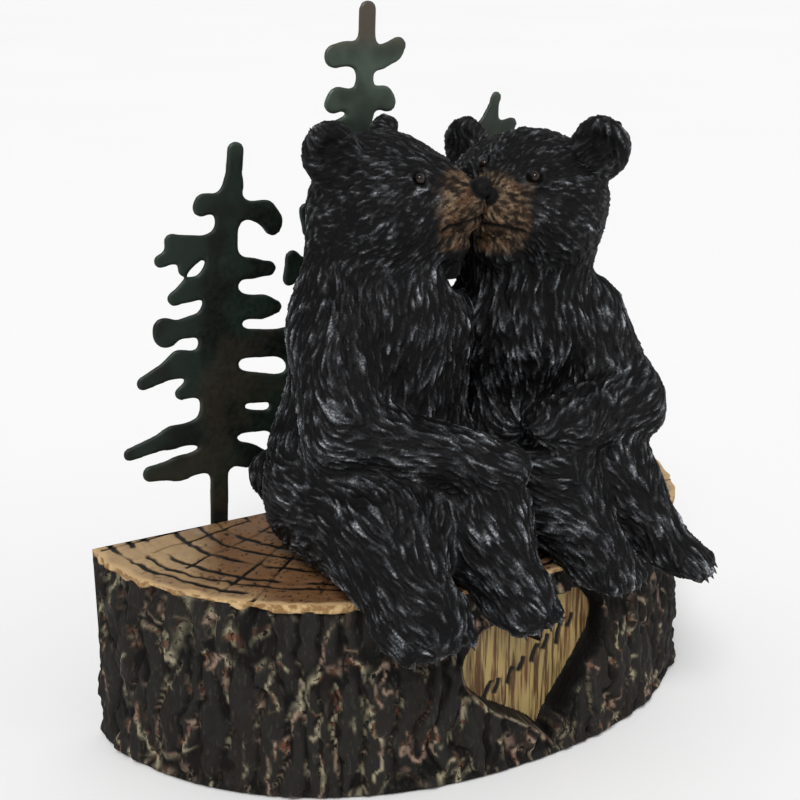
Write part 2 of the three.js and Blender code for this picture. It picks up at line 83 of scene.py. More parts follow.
def noise(p, cell, seed):
    """Smooth noise from -1 to 1 at the points p, with lumps of size cell."""
    q = np.asarray(p, float) / cell
    base = np.floor(q).astype(np.int64)
    f = q - base
    f = f * f * (3 - 2 * f)
    total = 0.0
    for dx in (0, 1):
        for dy in (0, 1):
            for dz in (0, 1):
                w = (f[..., 0] if dx else 1 - f[..., 0]) * (f[..., 1] if dy else 1 - f[..., 1])
                w = w * (f[..., 2] if dz else 1 - f[..., 2])
                i, j, k = (base[..., q] + d for q, d in enumerate((dx, dy, dz)))
                total = total + w * hashed(i, j, k, seed)
    return 2 * total - 1


def flat_noise(u, v, cell, seed):
    return noise(np.stack([u, v, np.zeros_like(u)], -1), cell, seed)


def plates(u, v, wide, tall, seed):
    """Irregular cells of that size: how far each point is inside its cell, and the cell's own number."""
    a, b = u / wide, v / tall
    i0, j0 = np.floor(a).astype(np.int64), np.floor(b).astype(np.int64)
    near = np.full(u.shape, 9.0)
    second = np.full(u.shape, 9.0)
    label = np.zeros(u.shape)
    for di in (-1, 0, 1):
        for dj in (-1, 0, 1):
            i, j = i0 + di, j0 + dj
            x = i + 0.15 + 0.7 * hashed(i, j, i * 0, seed)
            y = j + 0.1 + 0.8 * hashed(i, j, i * 0 + 1, seed)
            d = np.hypot(a - x, b - y)
            closer = d < near
            second = np.where(closer, near, np.minimum(second, d))
            label = np.where(closer, hashed(i, j, i * 0 + 2, seed), label)
            near = np.minimum(near, d)
    return second - near, label


# ---------------------------------------------------------------- mesh tools


def make_piece(name, points, faces, materials, slot, node, values=None, which=None):
    """Makes one piece: values are numbers at its points for the paint, which is each face's material."""
    mesh = bpy.data.meshes.new(name)
    mesh.from_pydata((points * MM).tolist(), [], faces if isinstance(faces, list) else faces.tolist())
    for key, value in (values or {}).items():
        layer = mesh.attributes.new(key, "FLOAT", "POINT")
        layer.data.foreach_set("value", np.asarray(value, np.float32))
    for material in materials:
        mesh.materials.append(material)
    if which is not None:
        mesh.polygons.foreach_set("material_index", np.asarray(which, np.int32))
    mesh.polygons.foreach_set("use_smooth", np.ones(len(mesh.polygons), bool))
    mesh.validate()
    piece = bpy.data.objects.new(name, mesh)
    bpy.context.scene.collection.objects.link(piece)
    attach(piece, "root")
    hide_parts(node)
    return piece


def surface(values, low, step):
    """The zero surface of a grid of distances as points and four-sided faces."""
    n = values.shape
    corners = [(i, j, k) for i in (0, 1) for j in (0, 1) for k in (0, 1)]
    at = {}
    for c in corners:
        at[c] = values[tuple(slice(c[q], n[q] - 1 + c[q]) for q in range(3))]
    total = np.zeros(tuple(m - 1 for m in n) + (3,))
    count = np.zeros(tuple(m - 1 for m in n))
    for a in corners:
        for axis in range(3):
            if a[axis]:
                continue
            b = tuple(1 if q == axis else a[q] for q in range(3))
            cross = (at[a] < 0) != (at[b] < 0)
            t = np.where(cross, at[a] / np.where(cross, at[a] - at[b], 1), 0)
            for q in range(3):
                total[..., q] += np.where(cross, a[q] + (t if q == axis else 0), 0)
            count += cross
    used = count > 0
    index = np.full(used.shape, -1)
    index[used] = np.arange(used.sum())
    points = low + step * (np.argwhere(used) + total[used] / count[used][:, None])
    faces = []
    for axis in range(3):
        a, b = (axis + 1) % 3, (axis + 2) % 3
        first, second = [slice(None)] * 3, [slice(None)] * 3
        first[axis], second[axis] = slice(0, n[axis] - 1), slice(1, n[axis])
        start, end = values[tuple(first)], values[tuple(second)]
        edges = np.argwhere((start < 0) != (end < 0))
        inside = start[tuple(edges.T)] < 0
        ring = []
        for da, db in ((1, 1), (0, 1), (0, 0), (1, 0)):
            cell = edges.copy()
            cell[:, a] -= da
            cell[:, b] -= db
            ring.append(index[tuple(cell.T)])
        quads = np.stack(ring, 1)
        quads[~inside] = quads[~inside][:, ::-1]
        faces.append(quads)
    return points, np.concatenate(faces)


def refine(points, faces):
    """Splits each four-sided face into four."""
    sides = np.sort(np.stack([faces, np.roll(faces, -1, 1)], -1).reshape(-1, 2), 1)
    key = sides[:, 0] * len(points) + sides[:, 1]
    unique, back = np.unique(key, return_inverse=True)
    ends = np.stack([unique // len(points), unique % len(points)], 1)
    middle = len(points) + back.reshape(-1, 4)
    centre = len(points) + len(unique) + np.arange(len(faces))
    out = np.concatenate([points, points[ends].mean(1), points[faces].mean(1)])
    small = []
    for c in range(4):
        small.append(np.stack([faces[:, c], middle[:, c], centre, middle[:, c - 1]], 1))
    return out, np.concatenate(small)


def facing_of(points, faces):
    """The direction each point of a skin faces."""
    a, b, c, d = (points[faces[:, i]] for i in range(4))
    across = np.cross(c - a, d - b)
    total = np.zeros_like(points)
    for i in range(4):
        for q in range(3):
            total[:, q] += np.bincount(faces[:, i], across[:, q], len(points))
    return total / (np.linalg.norm(total, axis=1)[:, None] + 1e-12)


# ---------------------------------------------------------------- distances


def limb(a, b, ra, rb, blend):
    """A round limb from a to b that tapers from radius ra to rb."""
    a, b = np.array(a, float), np.array(b, float)
    return dict(a=a, b=b, ra=ra, rb=rb, blend=blend, grain=unit(b - a))


def egg(centre, radii, face, blend, grain=(0, 0, -1)):
    """A rounded lump: its radii run ahead, sideways and up as it faces that way."""
    f = unit(face)
    s = unit(np.cross(f, UP))
    axes = np.array([f, s, np.cross(s, f)])
    return dict(centre=np.array(centre, float), radii=np.array(radii, float), axes=axes, blend=blend,
                grain=unit(grain))


def distance(p, shape):
    """How far the points p are outside a limb or an egg (negative inside)."""
    if "axes" in shape:
        q = (p - shape["centre"]) @ shape["axes"].T
        k0 = np.linalg.norm(q / shape["radii"], axis=-1)
        k1 = np.linalg.norm(q / shape["radii"] ** 2, axis=-1)
        return k0 * (k0 - 1) / np.maximum(k1, 1e-9)
    along = shape["b"] - shape["a"]
    t = np.clip((p - shape["a"]) @ along / (along @ along), 0, 1)
    gap = np.linalg.norm(p - shape["a"] - t[..., None] * along, axis=-1)
    return gap - (shape["ra"] + (shape["rb"] - shape["ra"]) * t)


def blend_min(a, b, k):
    """The nearer of two distances, with a fillet of width k where they meet."""
    h = np.maximum(k - np.abs(a - b), 0) / k
    return np.minimum(a, b) - h * h * k / 4


def field(p, shapes):
    """How far the points p are outside a whole bear, with the gap under the chins kept open."""
    d = 1e3
    for s in shapes:
        d = blend_min(d, distance(p, s), s["blend"])
    d = np.maximum(d, -distance(p, THROAT_GAP))
    return np.maximum(d, p[..., 1] - BACK_FACE_Y + BACK_GAP)


# ---------------------------------------------------------------- bears

LEFT_FACING = (0.68, -0.73, 0.0)
RIGHT_FACING = (-0.86, -0.51, 0.0)
LEFT_HEAD = (-12.8, 8.0, 134.5)
RIGHT_HEAD = (24.8, 5.0, 132.3)
LEFT_SCALE, LEFT_MUZZLE = 1.05, 7.5
RIGHT_SCALE, RIGHT_MUZZLE = 1.06, 7.0
# Eyes: the way to each from the head's middle, ahead, out to the bear's right, up.
LEFT_EYES = ((11.1, 9.4, 6.7), (11.1, -9.4, 6.7))
RIGHT_EYES = ((11.9, 4.8, 8.6), (12.8, -7.9, 7.2))
# Ears: ahead of the head's middle, out to the bear's right, up, half width, turned outwards by.
LEFT_EARS = ((-7.2, 13.0, 11.6, 6.3, 0.85), (-4.0, -12.4, 10.0, 5.8, 0.4))
RIGHT_EARS = ((-4.5, 18.2, 9.0, 6.3, 0.3), (-4.0, -15.8, 11.6, 6.5, 0.25))
THROAT_GAP = limb((-7, -17, 122.5), (9, 13, 110.5), 2.8, 2.8, 1)


def head_place(centre, facing, scale):
    f = unit(facing)
    r = np.cross(f, UP)
    return lambda ahead, right, up: np.array(centre) + scale * (ahead * f + right * r + up * UP)


def head(centre, facing, scale, muzzle, ears, wide):
    """A head with its muzzle, jaw, brows, nose pad, cheeks and ears."""
    at = head_place(centre, facing, scale)
    f = unit(facing)
    back = -f + np.array([0, 0, -0.35])
    size = lambda *r: tuple(q * scale for q in r)
    shapes = [
        egg(at(0, 0, 0), size(15.5, wide, 14), f, 4, back + np.array([0, 0, -0.5])),
        egg(at(-2, 0, 4.2), size(11, 13, 10), f, 3, back),
        limb(at(9 + muzzle, 0, -0.4), at(9, 0, -1.5), 6.4 * scale, 9 * scale, 4),
        limb(at(6.5 + muzzle, 0, -8.6), at(9, 0, -9), 5.4 * scale, 8 * scale, 2),
        egg(at(10, 0, 4.5), size(7.5, 5, 4.5), f, 4, back),
        egg(at(14.8 + muzzle, 0, 4), size(2.2, 3.1, 2.3), f, 1.2, back),
    ]
    for side in (1, -1):
        cheek_grain = back + np.array([0, 0, -0.4])
        shapes.append(egg(at(4, side * (wide - 9), -4.5), size(9.5, 8.5, 9), f, 4, cheek_grain))
        shapes.append(egg(at(9, side * 6.5, 5.5), size(4, 4.4, 3.2), f, 2.5, back))
    for ahead, out, up, half, turn in ears:
        way = ear_facing(f, out, turn)
        shapes.append(egg(at(ahead, out, up), size(4, half, 1.08 * half), way, 2.5, UP))
    return shapes


def ear_facing(facing, out, turn):
    """Where the hollow of an ear points: ahead, turned outwards."""
    f = unit(facing)
    return f * math.cos(turn) + np.cross(f, UP) * math.sin(turn) * np.sign(out)


TOE_PLACES = (-1.5, -0.5, 0.5, 1.5)


def toes(centre, face, spread, reach):
    """Four toes side by side across the front of a foot."""
    f = unit(face)
    s = unit(np.cross(f, UP))
    made = []
    for i in TOE_PLACES:
        tip = np.array(centre) + f * (reach - 0.5 * abs(i)) + s * i * spread
        made.append(limb(tip - 3 * f, tip, 2.7, 2.4, 1.0))
    return made


# Feet: middle, the way it points, space between toes, reach of the toes.
LEFT_FEET = (
    ((-27, -36, 49), (0.1, -1, -0.5), 5.2, 7.6),
    ((-2, -37, 49), (0.2, -1, -0.5), 3.6, 7.0),
)
RIGHT_FEET = (
    ((24.5, -35, 50.5), (0.3, -1, -0.4), 3.1, 6.0),
    ((44.8, -35, 49.5), (0.6, -0.8, -0.35), 2.9, 7.6),
)

# Trunk, shoulders, neck and head, near arm, far arm, the two legs with their feet, tail.
left_bear = [
    egg((-16, 11, 69.5), (23.5, 22.5, 20.5), (0, -1, 0), 6),
    limb((-13.2, 9, 98), (-15, 9.5, 74), 20.3, 23.3, 8),
    egg((-14, 8, 104), (16, 21.6, 16), (0, -1, 0), 8),
    limb((-15.5, 9, 129), (-14.4, 9, 108), 15, 17.6, 8),
    *head(LEFT_HEAD, LEFT_FACING, LEFT_SCALE, LEFT_MUZZLE, LEFT_EARS, 16.5),
    limb((-29, 1, 104), (-32, -9, 86), 10.5, 9.5, 4),
    limb((-32, -9, 86), (-9, -26, 80), 9, 7, 3),
    egg((-3, -28, 79), (7.5, 6.5, 6), (0.9, -0.4, -0.1), 3, (0.9, -0.4, -0.3)),
    limb((3, 12, 103), (12, 24, 92), 9.5, 8, 5),
    limb((12, 24, 92), (24, 26.5, 88), 8, 7, 4),
    egg((29, 26.5, 87), (7, 6, 6), (1, 0, 0), 3, (1, 0, 0)),
    limb((-28.5, 3, 66), (-28, -20, 63), 17.5, 14, 6),
    limb((-28, -20, 63), (-28, -32, 53), 13.5, 10, 4),
    egg((-27, -36, 49), (9, 12, 7.5), (0.1, -1, -0.5), 4, (0.1, -1, -0.9)),
    limb((-6, 2, 66), (-5, -22, 64), 16, 13, 6),
    limb((-5, -22, 64), (-3, -33, 52), 12.5, 8.5, 4),
    egg((-2, -37, 49), (8, 8.5, 6), (0.2, -1, -0.5), 4, (0.2, -1, -0.9)),
    egg((-35, 26, 63.5), (6, 5, 7), (-1, 1, 0), 3),
]
right_bear = [
    egg((25, 11, 67), (20, 21, 18), (0, -1, 0), 6),
    limb((25.5, 8, 94), (25, 10, 71), 16, 19, 8),
    egg((26, 7, 99.5), (14, 19, 14), (0, -1, 0), 8),
    limb((26.3, 5, 124), (25, 7, 104), 16.4, 15.5, 8),
    *head(RIGHT_HEAD, RIGHT_FACING, RIGHT_SCALE, RIGHT_MUZZLE, RIGHT_EARS, 19),
    limb((40, 2, 101), (43.6, -12, 81), 10.8, 10, 4),
    limb((43.3, -12, 81), (20, -22, 83), 10, 7, 4),
    egg((14, -22.5, 84.5), (7, 6, 5.5), (-0.95, -0.2, 0.1), 3, (-0.95, -0.2, -0.1)),
    limb((12, 12, 98), (4, 22, 86), 9, 8, 5),
    limb((4, 22, 86), (-12, 26, 84), 8, 7, 4),
    limb((20, 4, 65), (17, -18, 67), 15, 12.5, 6),
    limb((17, -18, 67), (21.5, -31, 55), 12, 8.5, 4),
    egg((24.5, -35, 50.5), (7, 8, 5.5), (0.3, -1, -0.4), 4, (0.3, -1, -0.8)),
    limb((33, 4, 65), (37, -20, 65), 13, 9.8, 5),
    limb((37, -20, 65), (40.6, -30, 55), 9.8, 7.3, 4),
    egg((44.8, -35, 49.5), (8.5, 7, 5), (0.6, -0.8, -0.35), 4, (0.6, -0.8, -0.6)),
]

LEFT_BEAR = dict(shapes=left_bear, feet=LEFT_FEET, centre=LEFT_HEAD, facing=LEFT_FACING,
                 scale=LEFT_SCALE, ears=LEFT_EARS, muzzle=LEFT_MUZZLE, eyes=LEFT_EYES, seed=101)
RIGHT_BEAR = dict(shapes=right_bear, feet=RIGHT_FEET, centre=RIGHT_HEAD, facing=RIGHT_FACING,
                  scale=RIGHT_SCALE, ears=RIGHT_EARS, muzzle=RIGHT_MUZZLE, eyes=RIGHT_EYES, seed=202)

# The first skin is laid on cells of this step inside this block, then refined twice.
SKIN_STEP = 1.62
SKIN_LOW = np.array([-58.0, -56.0, 38.0])
SKIN_HIGH = np.array([64.0, 40.0, 160.0])
SKIN_MARGIN = 4.0
SPLIT_HEIGHT = 88.0  # each bear is an upper and a lower piece, parted here
HIDDEN_DEPTH = 1.5
NOSE_AHEAD = 14.8  # the nose pad, before the muzzle's own length
EYE_RADIUS = 1.3
LOCK_SPACING = 0.034  # locks to each point of the skin
LOCK_LENGTH, LOCK_WIDTH, LOCK_HEIGHT = 6.0, 1.0, 0.75
HAIR_WIDTH, HAIR_REACH = 0.54, 1.5
HEAD_HAIR_WIDTH, HEAD_HAIR_REACH = 0.5, 0.85
CLUMP_WIDTH, CLUMP_REACH = 2.0, 4.5


def combed(points, flow, width, reach, seed):
    """Noise drawn out along the flow into streaks of that width, scaled to run from about -1 to 1."""
    total = np.zeros(len(points))
    steps = np.linspace(-reach, reach, 9)
    for t in steps:
        total += (1 - 0.6 * abs(t) / reach) * noise(points + t * flow, width, seed)
    return total / (2.2 * total.std())


def comb(points, normals, flow, size, tree, spacing, seed):
    """Lays carved locks along the flow: each rises to a sharp ridge and ends in a point."""
    rng = np.random.default_rng(seed)
    ridge = np.zeros(len(points))
    roots = rng.random(len(points)) < spacing / np.maximum(size, 0.35) ** 2
    for i in np.flatnonzero(roots):
        s = size[i]
        reach = LOCK_LENGTH * s * rng.uniform(0.6, 1.25)
        half = LOCK_WIDTH * (0.4 + 0.6 * s) * rng.uniform(0.6, 1.3)
        tall = LOCK_HEIGHT * (0.3 + 0.7 * s) * rng.uniform(0.3, 1.0)
        turn, bend = rng.normal(0, 0.26), rng.normal(0, 0.5)
        f, n = flow[i], normals[i]
        side = np.cross(n, f)
        f, side = f * math.cos(turn) + side * math.sin(turn), side * math.cos(turn) - f * math.sin(turn)
        found = [q[1] for q in tree.find_range(points[i], reach * 0.5)]
        d = points[found] - points[i]
        x = (d @ f) / reach
        y = d @ side + bend * half * 4 * x * x
        taper = half * np.sqrt(np.clip(1 - (2 * x) ** 2, 0, 1)) * (1.15 - 0.6 * (x + 0.5))
        h = tall * (0.35 + 0.65 * (x + 0.5)) * (1 - np.abs(y) / np.maximum(taper, 1e-6))
        h[(np.abs(y) >= taper) | (normals[found] @ n < 0.2)] = 0
        ridge[found] = np.maximum(ridge[found], h)
    return ridge


def bare_skin(shapes):
    """The smooth skin of those shapes, in fine four-sided faces."""
    ends = []
    for s in shapes:
        if "axes" in s:
            ends += [s["centre"] - s["radii"].max(), s["centre"] + s["radii"].max()]
        else:
            r = max(s["ra"], s["rb"])
            ends += [s["a"] - r, s["a"] + r, s["b"] - r, s["b"] + r]
    low = np.maximum(SKIN_LOW, np.min(ends, 0) - SKIN_MARGIN)
    high = np.minimum(SKIN_HIGH, np.max(ends, 0) + SKIN_MARGIN)
    n = np.ceil((high - low) / SKIN_STEP).astype(int)
    axes = [low[i] + SKIN_STEP * np.arange(n[i]) for i in range(3)]
    grid = np.stack(np.meshgrid(*axes, indexing="ij"), -1)
    points, faces = surface(field(grid, shapes), low, SKIN_STEP)
    for _ in range(2):
        points, faces = refine(points, faces)
        for _ in range(2):
            points = points - 0.9 * field(points, shapes)[:, None] * facing_of(points, faces)
    return points, faces


def coat_flow(points, normals, shapes, from_nose, in_head, seed):
    """The way the coat lies: along each limb and down the body, and from the nose over the head."""
    weight_sum = np.zeros(len(points))
    flow = np.zeros_like(points)
    for s in shapes:
        w = np.exp(-np.clip(distance(points, s), -3, 20) / 2.0)
        flow += w[:, None] * s["grain"]
        weight_sum += w
    in_head = in_head[:, None]
    over_head = from_nose + [0, 0, -0.25]
    flow = flow / weight_sum[:, None] * (1 - in_head) + over_head * in_head
    swirl = np.stack([noise(points, 15.0, seed + q) for q in (1, 2, 3)], -1)
    swirl = swirl + 0.7 * np.stack([noise(points, 6.0, seed + q) for q in (4, 5, 6)], -1)
    flow += 0.55 * swirl * (1 - 0.6 * in_head)
    flow -= (flow * normals).sum(1)[:, None] * normals
    return flow / (np.linalg.norm(flow, axis=1)[:, None] + 1e-9)


def carve_face(bear, points, local, near_head, seats):
    """Cuts the mouth, nostrils, eye sockets and ear hollows.

    Gives how far each point rises, how far it is painted black as painted shade in these creases and hollows,
    and how much more brush it takes.
    """
    ahead, right, up = local.T
    front = NOSE_AHEAD + bear["muzzle"]
    mouth_up = -4.6 + 0.32 * (ahead - 16)
    mouth = np.exp(-((up - mouth_up) / 0.55) ** 2) * smooth(14.6, 15.8, ahead) * near_head
    split = np.exp(-(right / 0.4) ** 2) * smooth(front - 3, front - 1, ahead) * smooth(1.8, 0.8, up)
    split = split * smooth(-3.4, -2.4, up)
    # dark is painted shade: black in the mouth crease and the split under the nose
    dark = np.maximum(mouth, split)
    rise = -1.0 * mouth - 0.4 * split
    brush = np.zeros(len(points))
    for side in (1, -1):
        spot = np.array([front + 1.7, side * 1.4, 4.0])
        hole = smooth(1.0, 0.5, np.linalg.norm((local - spot) * [0.6, 1, 1.2], axis=1)) * near_head
        rise = rise - 0.7 * hole
        # painted shade in the nostrils
        dark = np.maximum(dark, hole)
    for seat in seats:
        gap = np.linalg.norm(points - seat, axis=1)
        rise = rise - 0.7 * smooth(2.6, 0.8, gap) + 0.4 * np.exp(-((gap - 2.3) / 0.6) ** 2)
        # painted shade in the socket round each eye
        dark = np.maximum(dark, 0.8 * smooth(1.9, 1.4, gap))
        brush = brush + 0.2 * np.exp(-((gap - 2.5) / 0.5) ** 2)
    for ahead0, out0, up0, half, turn in bear["ears"]:
        way = ear_facing((1, 0, 0), out0, turn) * [1, -1, 1]
        q = local - np.array([ahead0, out0, up0]) - 2.6 * way
        q = np.linalg.norm(q - 0.35 * (q @ way)[:, None] * way, axis=1) / (half - 1.0)
        hollow = smooth(1.0, 0.5, q)
        rise = rise - 2.3 * hollow
        # painted shade in the ear hollows
        dark = np.maximum(dark, 0.7 * hollow)
    return rise, dark, brush


def is_buried(points, other_shapes):
    """Skin deep in the other bear or in the log is never seen, so it is left off."""
    across = (np.abs(points[:, 0]) / LOG_HALF_WIDTH) ** RIGHT_FULLNESS
    plan = across + ((BACK_FACE_Y - points[:, 1]) / LOG_DEPTH) ** 2
    in_log = (points[:, 2] < LOG_HEIGHT - HIDDEN_DEPTH) & (plan < 0.9)
    return in_log | (field(points, other_shapes) < -HIDDEN_DEPTH)


def carve_bear(name, bear, other_bear):
    """Skins one bear, lays its coat, cuts its face and makes its pieces."""
    seed = bear["seed"]
    shapes = bear["shapes"]
    for foot in bear["feet"]:
        shapes = shapes + toes(*foot)
    points, faces = bare_skin(shapes)
    normals = facing_of(points, faces)

    # Places on the head: ahead, to the bear's right, up.
    f = unit(bear["facing"])
    head_axes = np.stack([f, np.cross(f, UP), UP])
    centre = np.array(bear["centre"])
    local = (points - centre) @ head_axes.T / bear["scale"]
    ahead, right, up = local.T
    front = NOSE_AHEAD + bear["muzzle"]
    near_head = (np.linalg.norm(local, axis=1) < 30) & (up > -19)
    in_head = smooth(26, 18, np.linalg.norm(local * [0.75, 1, 1], axis=1)) * smooth(-17, -9, up)
    ragged = 1.3 * noise(points, 2.4, 5)
    on_muzzle = smooth(13.4, 16.4, ahead + ragged) * smooth(9.4, 7.4, np.abs(right))
    on_muzzle = on_muzzle * smooth(-10.2, -8.2, up) * smooth(8.5, 6.5, up) * near_head
    nose = egg((front, 0, 4), (2.2, 3.1, 2.3), (1, 0, 0), 1)
    on_nose = smooth(0.7, 0.1, distance(local * [1, -1, 1], nose)) * near_head

    from_nose = local - [front + 4, 0, 2]
    from_nose = from_nose @ head_axes / (np.linalg.norm(from_nose, axis=1)[:, None] + 1e-6)
    flow = coat_flow(points, normals, shapes, from_nose, in_head, seed)
    tree = KDTree(len(points))
    for i, p in enumerate(points.tolist()):
        tree.insert(p, i)
    tree.balance()
    size = 1 - 0.5 * in_head - 0.3 * on_muzzle
    locks = comb(points, normals, flow, size, tree, LOCK_SPACING, seed)
    hair = combed(points, flow, HAIR_WIDTH, HAIR_REACH, seed + 20)
    head_hair = combed(points, flow, HEAD_HAIR_WIDTH, HEAD_HAIR_REACH, seed + 21)
    hair = (1 - in_head) * hair + in_head * head_hair
    clump = combed(points, flow, CLUMP_WIDTH, CLUMP_REACH, seed + 30)
    calm = 1 - 0.3 * in_head - 0.25 * on_muzzle
    height = (locks + calm * (0.3 * hair + 0.3 * clump)) * (1 - on_nose) - 0.25 * (1 - in_head)
    relief = np.clip(0.22 + 0.5 * locks / LOCK_HEIGHT + 0.5 * hair + 0.14 * clump, 0, 1.5)

    seats = [skin_point(bear["shapes"], centre, np.array(eye) @ head_axes) for eye in bear["eyes"]]
    rise, dark, brush = carve_face(bear, points, local, near_head, seats)
    points = points + (height + rise)[:, None] * normals
    # dark carries the painted shade of the mouth, nostrils, eye sockets and ear hollows
    values = dict(relief=relief + brush, muzzle=on_muzzle * (1 - on_nose), nose=on_nose, dark=dark)

    faces = faces[~is_buried(points, other_bear["shapes"])[faces].all(1)]
    upper = points[faces].mean(1)[:, 2] > SPLIT_HEIGHT
    for part, chosen in (("upper", upper), ("lower", ~upper)):
        kept, small = np.unique(faces[chosen], return_inverse=True)
        piece_values = {k: v[kept] for k, v in values.items()}
        make_piece(name + "_" + part, points[kept], small.reshape(-1, 4), [painted_fur],
                   "bear_resin", "bear_pair", piece_values)
    beads = [ball(seat - 0.35 * unit(seat - centre), EYE_RADIUS) for seat in seats]
    make_piece(name + "_eyes", *join(beads), [lacquer], "bear_resin", "bear_pair")


def skin_point(shapes, centre, offset):
    """Where the line from the head's middle through that offset leaves the skin."""
    way = unit(offset)
    reach = np.linspace(5, 34, 600)
    inside = field(centre + reach[:, None] * way, shapes) < 0
    first_out = np.argmax(~inside)
    return centre + reach[first_out] * way


def ball(centre, radius, rings=10, around=16):
    """A round bead."""
    points, faces = [], []
    for i in range(rings + 1):
        a = math.pi * i / rings
        for j in range(around):
            b = 2 * math.pi * j / around
            q = np.array([math.sin(a) * math.cos(b), math.sin(a) * math.sin(b), math.cos(a)])
            points.append(np.array(centre) + radius * q)
    for i in range(rings):
        for j in range(around):
            k = (j + 1) % around
            faces.append([i * around + j, (i + 1) * around + j, (i + 1) * around + k, i * around + k])
    return np.array(points), np.array(faces)


def claw(tip_of_toe, forward, down, length, thick):
    """A curved horn that narrows to its point."""
    points, faces = [], []
    side = unit(np.cross(forward, down))
    rings, around = 6, 8
    for i in range(rings + 1):
        t = i / rings
        middle = tip_of_toe + forward * length * t + down * length * 0.55 * t * t
        r = thick * (1 - t) ** 0.7 + 0.03
        for j in range(around):
            b = 2 * math.pi * j / around
            points.append(middle + r * (math.cos(b) * side + math.sin(b) * down))
    for i in range(rings):
        for j in range(around):
            k = (j + 1) % around
            faces.append([i * around + j, (i + 1) * around + j, (i + 1) * around + k, i * around + k])
    return np.array(points), np.array(faces)


def join(parts):
    """Several small meshes as one."""
    points, faces, start = [], [], 0
    for p, q in parts:
        points.append(p)
        faces.append(q + start)
        start += len(p)
    return np.concatenate(points), np.concatenate(faces)


def claws_of(feet):
    """A claw at the tip of every toe."""
    made = []
    for centre, face, spread, reach in feet:
        f = unit(face)
        s = unit(np.cross(f, UP))
        for i in TOE_PLACES:
            tip = np.array(centre) + f * (reach - 0.5 * abs(i) + 1.3) + s * i * spread
            made.append(claw(tip, unit(f + 0.1 * i * s), np.array([0, 0.2, -1.0]), 2.0, 0.8))
    return join(made)


# ---------------------------------------------------------------- materials


def linear(code):
    """An sRGB hex colour as linear light."""
    parts = [int(code[i : i + 2], 16) / 255 for i in (1, 3, 5)]
    return tuple(c / 12.92 if c <= 0.04045 else ((c + 0.055) / 1.055) ** 2.4 for c in parts) + (1.0,)


def add(material, kind, settings=None, inputs=None):
    """Adds a node: settings are its own choices, inputs are numbers, colours or the sockets that feed it."""
    tree = material.node_tree
    made = tree.nodes.new(kind)
    for key, value in (settings or {}).items():
        setattr(made, key, value)
    for key, value in (inputs or {}).items():
        if isinstance(value, bpy.types.NodeSocket):
            tree.links.new(value, made.inputs[key])
        else:
            made.inputs[key].default_value = value
    return made


def start_material(name):
    """An empty material of that name."""
    material = bpy.data.materials.new(name)
    material.use_nodes = True
    material.node_tree.nodes.clear()
    return material


def finish_material(material, colour, roughness, normal, **shader_numbers):
    """Joins the colour, roughness and relief to the shader."""
    inputs = {"Base Color": colour, "Roughness": roughness}
    if normal is not None:
        inputs["Normal"] = normal
    for key, value in shader_numbers.items():
        inputs[key.replace("_", " ")] = value
    shader = add(material, "ShaderNodeBsdfPrincipled", None, inputs)
    add(material, "ShaderNodeOutputMaterial", None, {"Surface": shader.outputs["BSDF"]})
    return material


def mix(material, factor, a, b):
    """Colour b over colour a, as far as the factor says."""
    made = add(material, "ShaderNodeMix", {"data_type": "RGBA", "clamp_factor": True},
               {0: factor, 6: a, 7: b})
    return made.outputs[2]


def value_of(material, name):
    """A number that the mesh carries at its points."""
    return add(material, "ShaderNodeAttribute", {"attribute_name": name}).outputs["Fac"]


def ramp(material, source, low, high, to_low=0.0, to_high=1.0):
    """A soft step: to_low where the source is under low, to_high where it is over high."""
    ends = {"From Min": low, "From Max": high, "To Min": to_low, "To Max": to_high}
    made = add(material, "ShaderNodeMapRange", {"interpolation_type": "SMOOTHSTEP"},
               {"Value": source, **ends})
    return made.outputs["Result"]


def lumps(material, size_mm, detail=3.0, stretch=(1, 1, 1)):
    """Cloudy patches of that size, drawn out along an axis where its stretch is under 1."""
    place = add(material, "ShaderNodeTexCoord").outputs["Object"]
    scaled = add(material, "ShaderNodeMapping", None, {"Vector": place, "Scale": stretch})
    inputs = {"Vector": scaled.outputs["Vector"], "Scale": 1 / (size_mm * MM),
              "Detail": detail, "Roughness": 0.55}
    return add(material, "ShaderNodeTexNoise", None, inputs).outputs["Fac"]


def times(material, a, b):
    return add(material, "ShaderNodeMath", {"operation": "MULTIPLY"}, {0: a, 1: b}).outputs[0]


def bumped(material, height, strength, size_mm):
    """Relief too fine for the mesh, that high."""
    return add(material, "ShaderNodeBump", None,
               {"Height": height, "Strength": strength, "Distance": size_mm * MM}).outputs["Normal"]


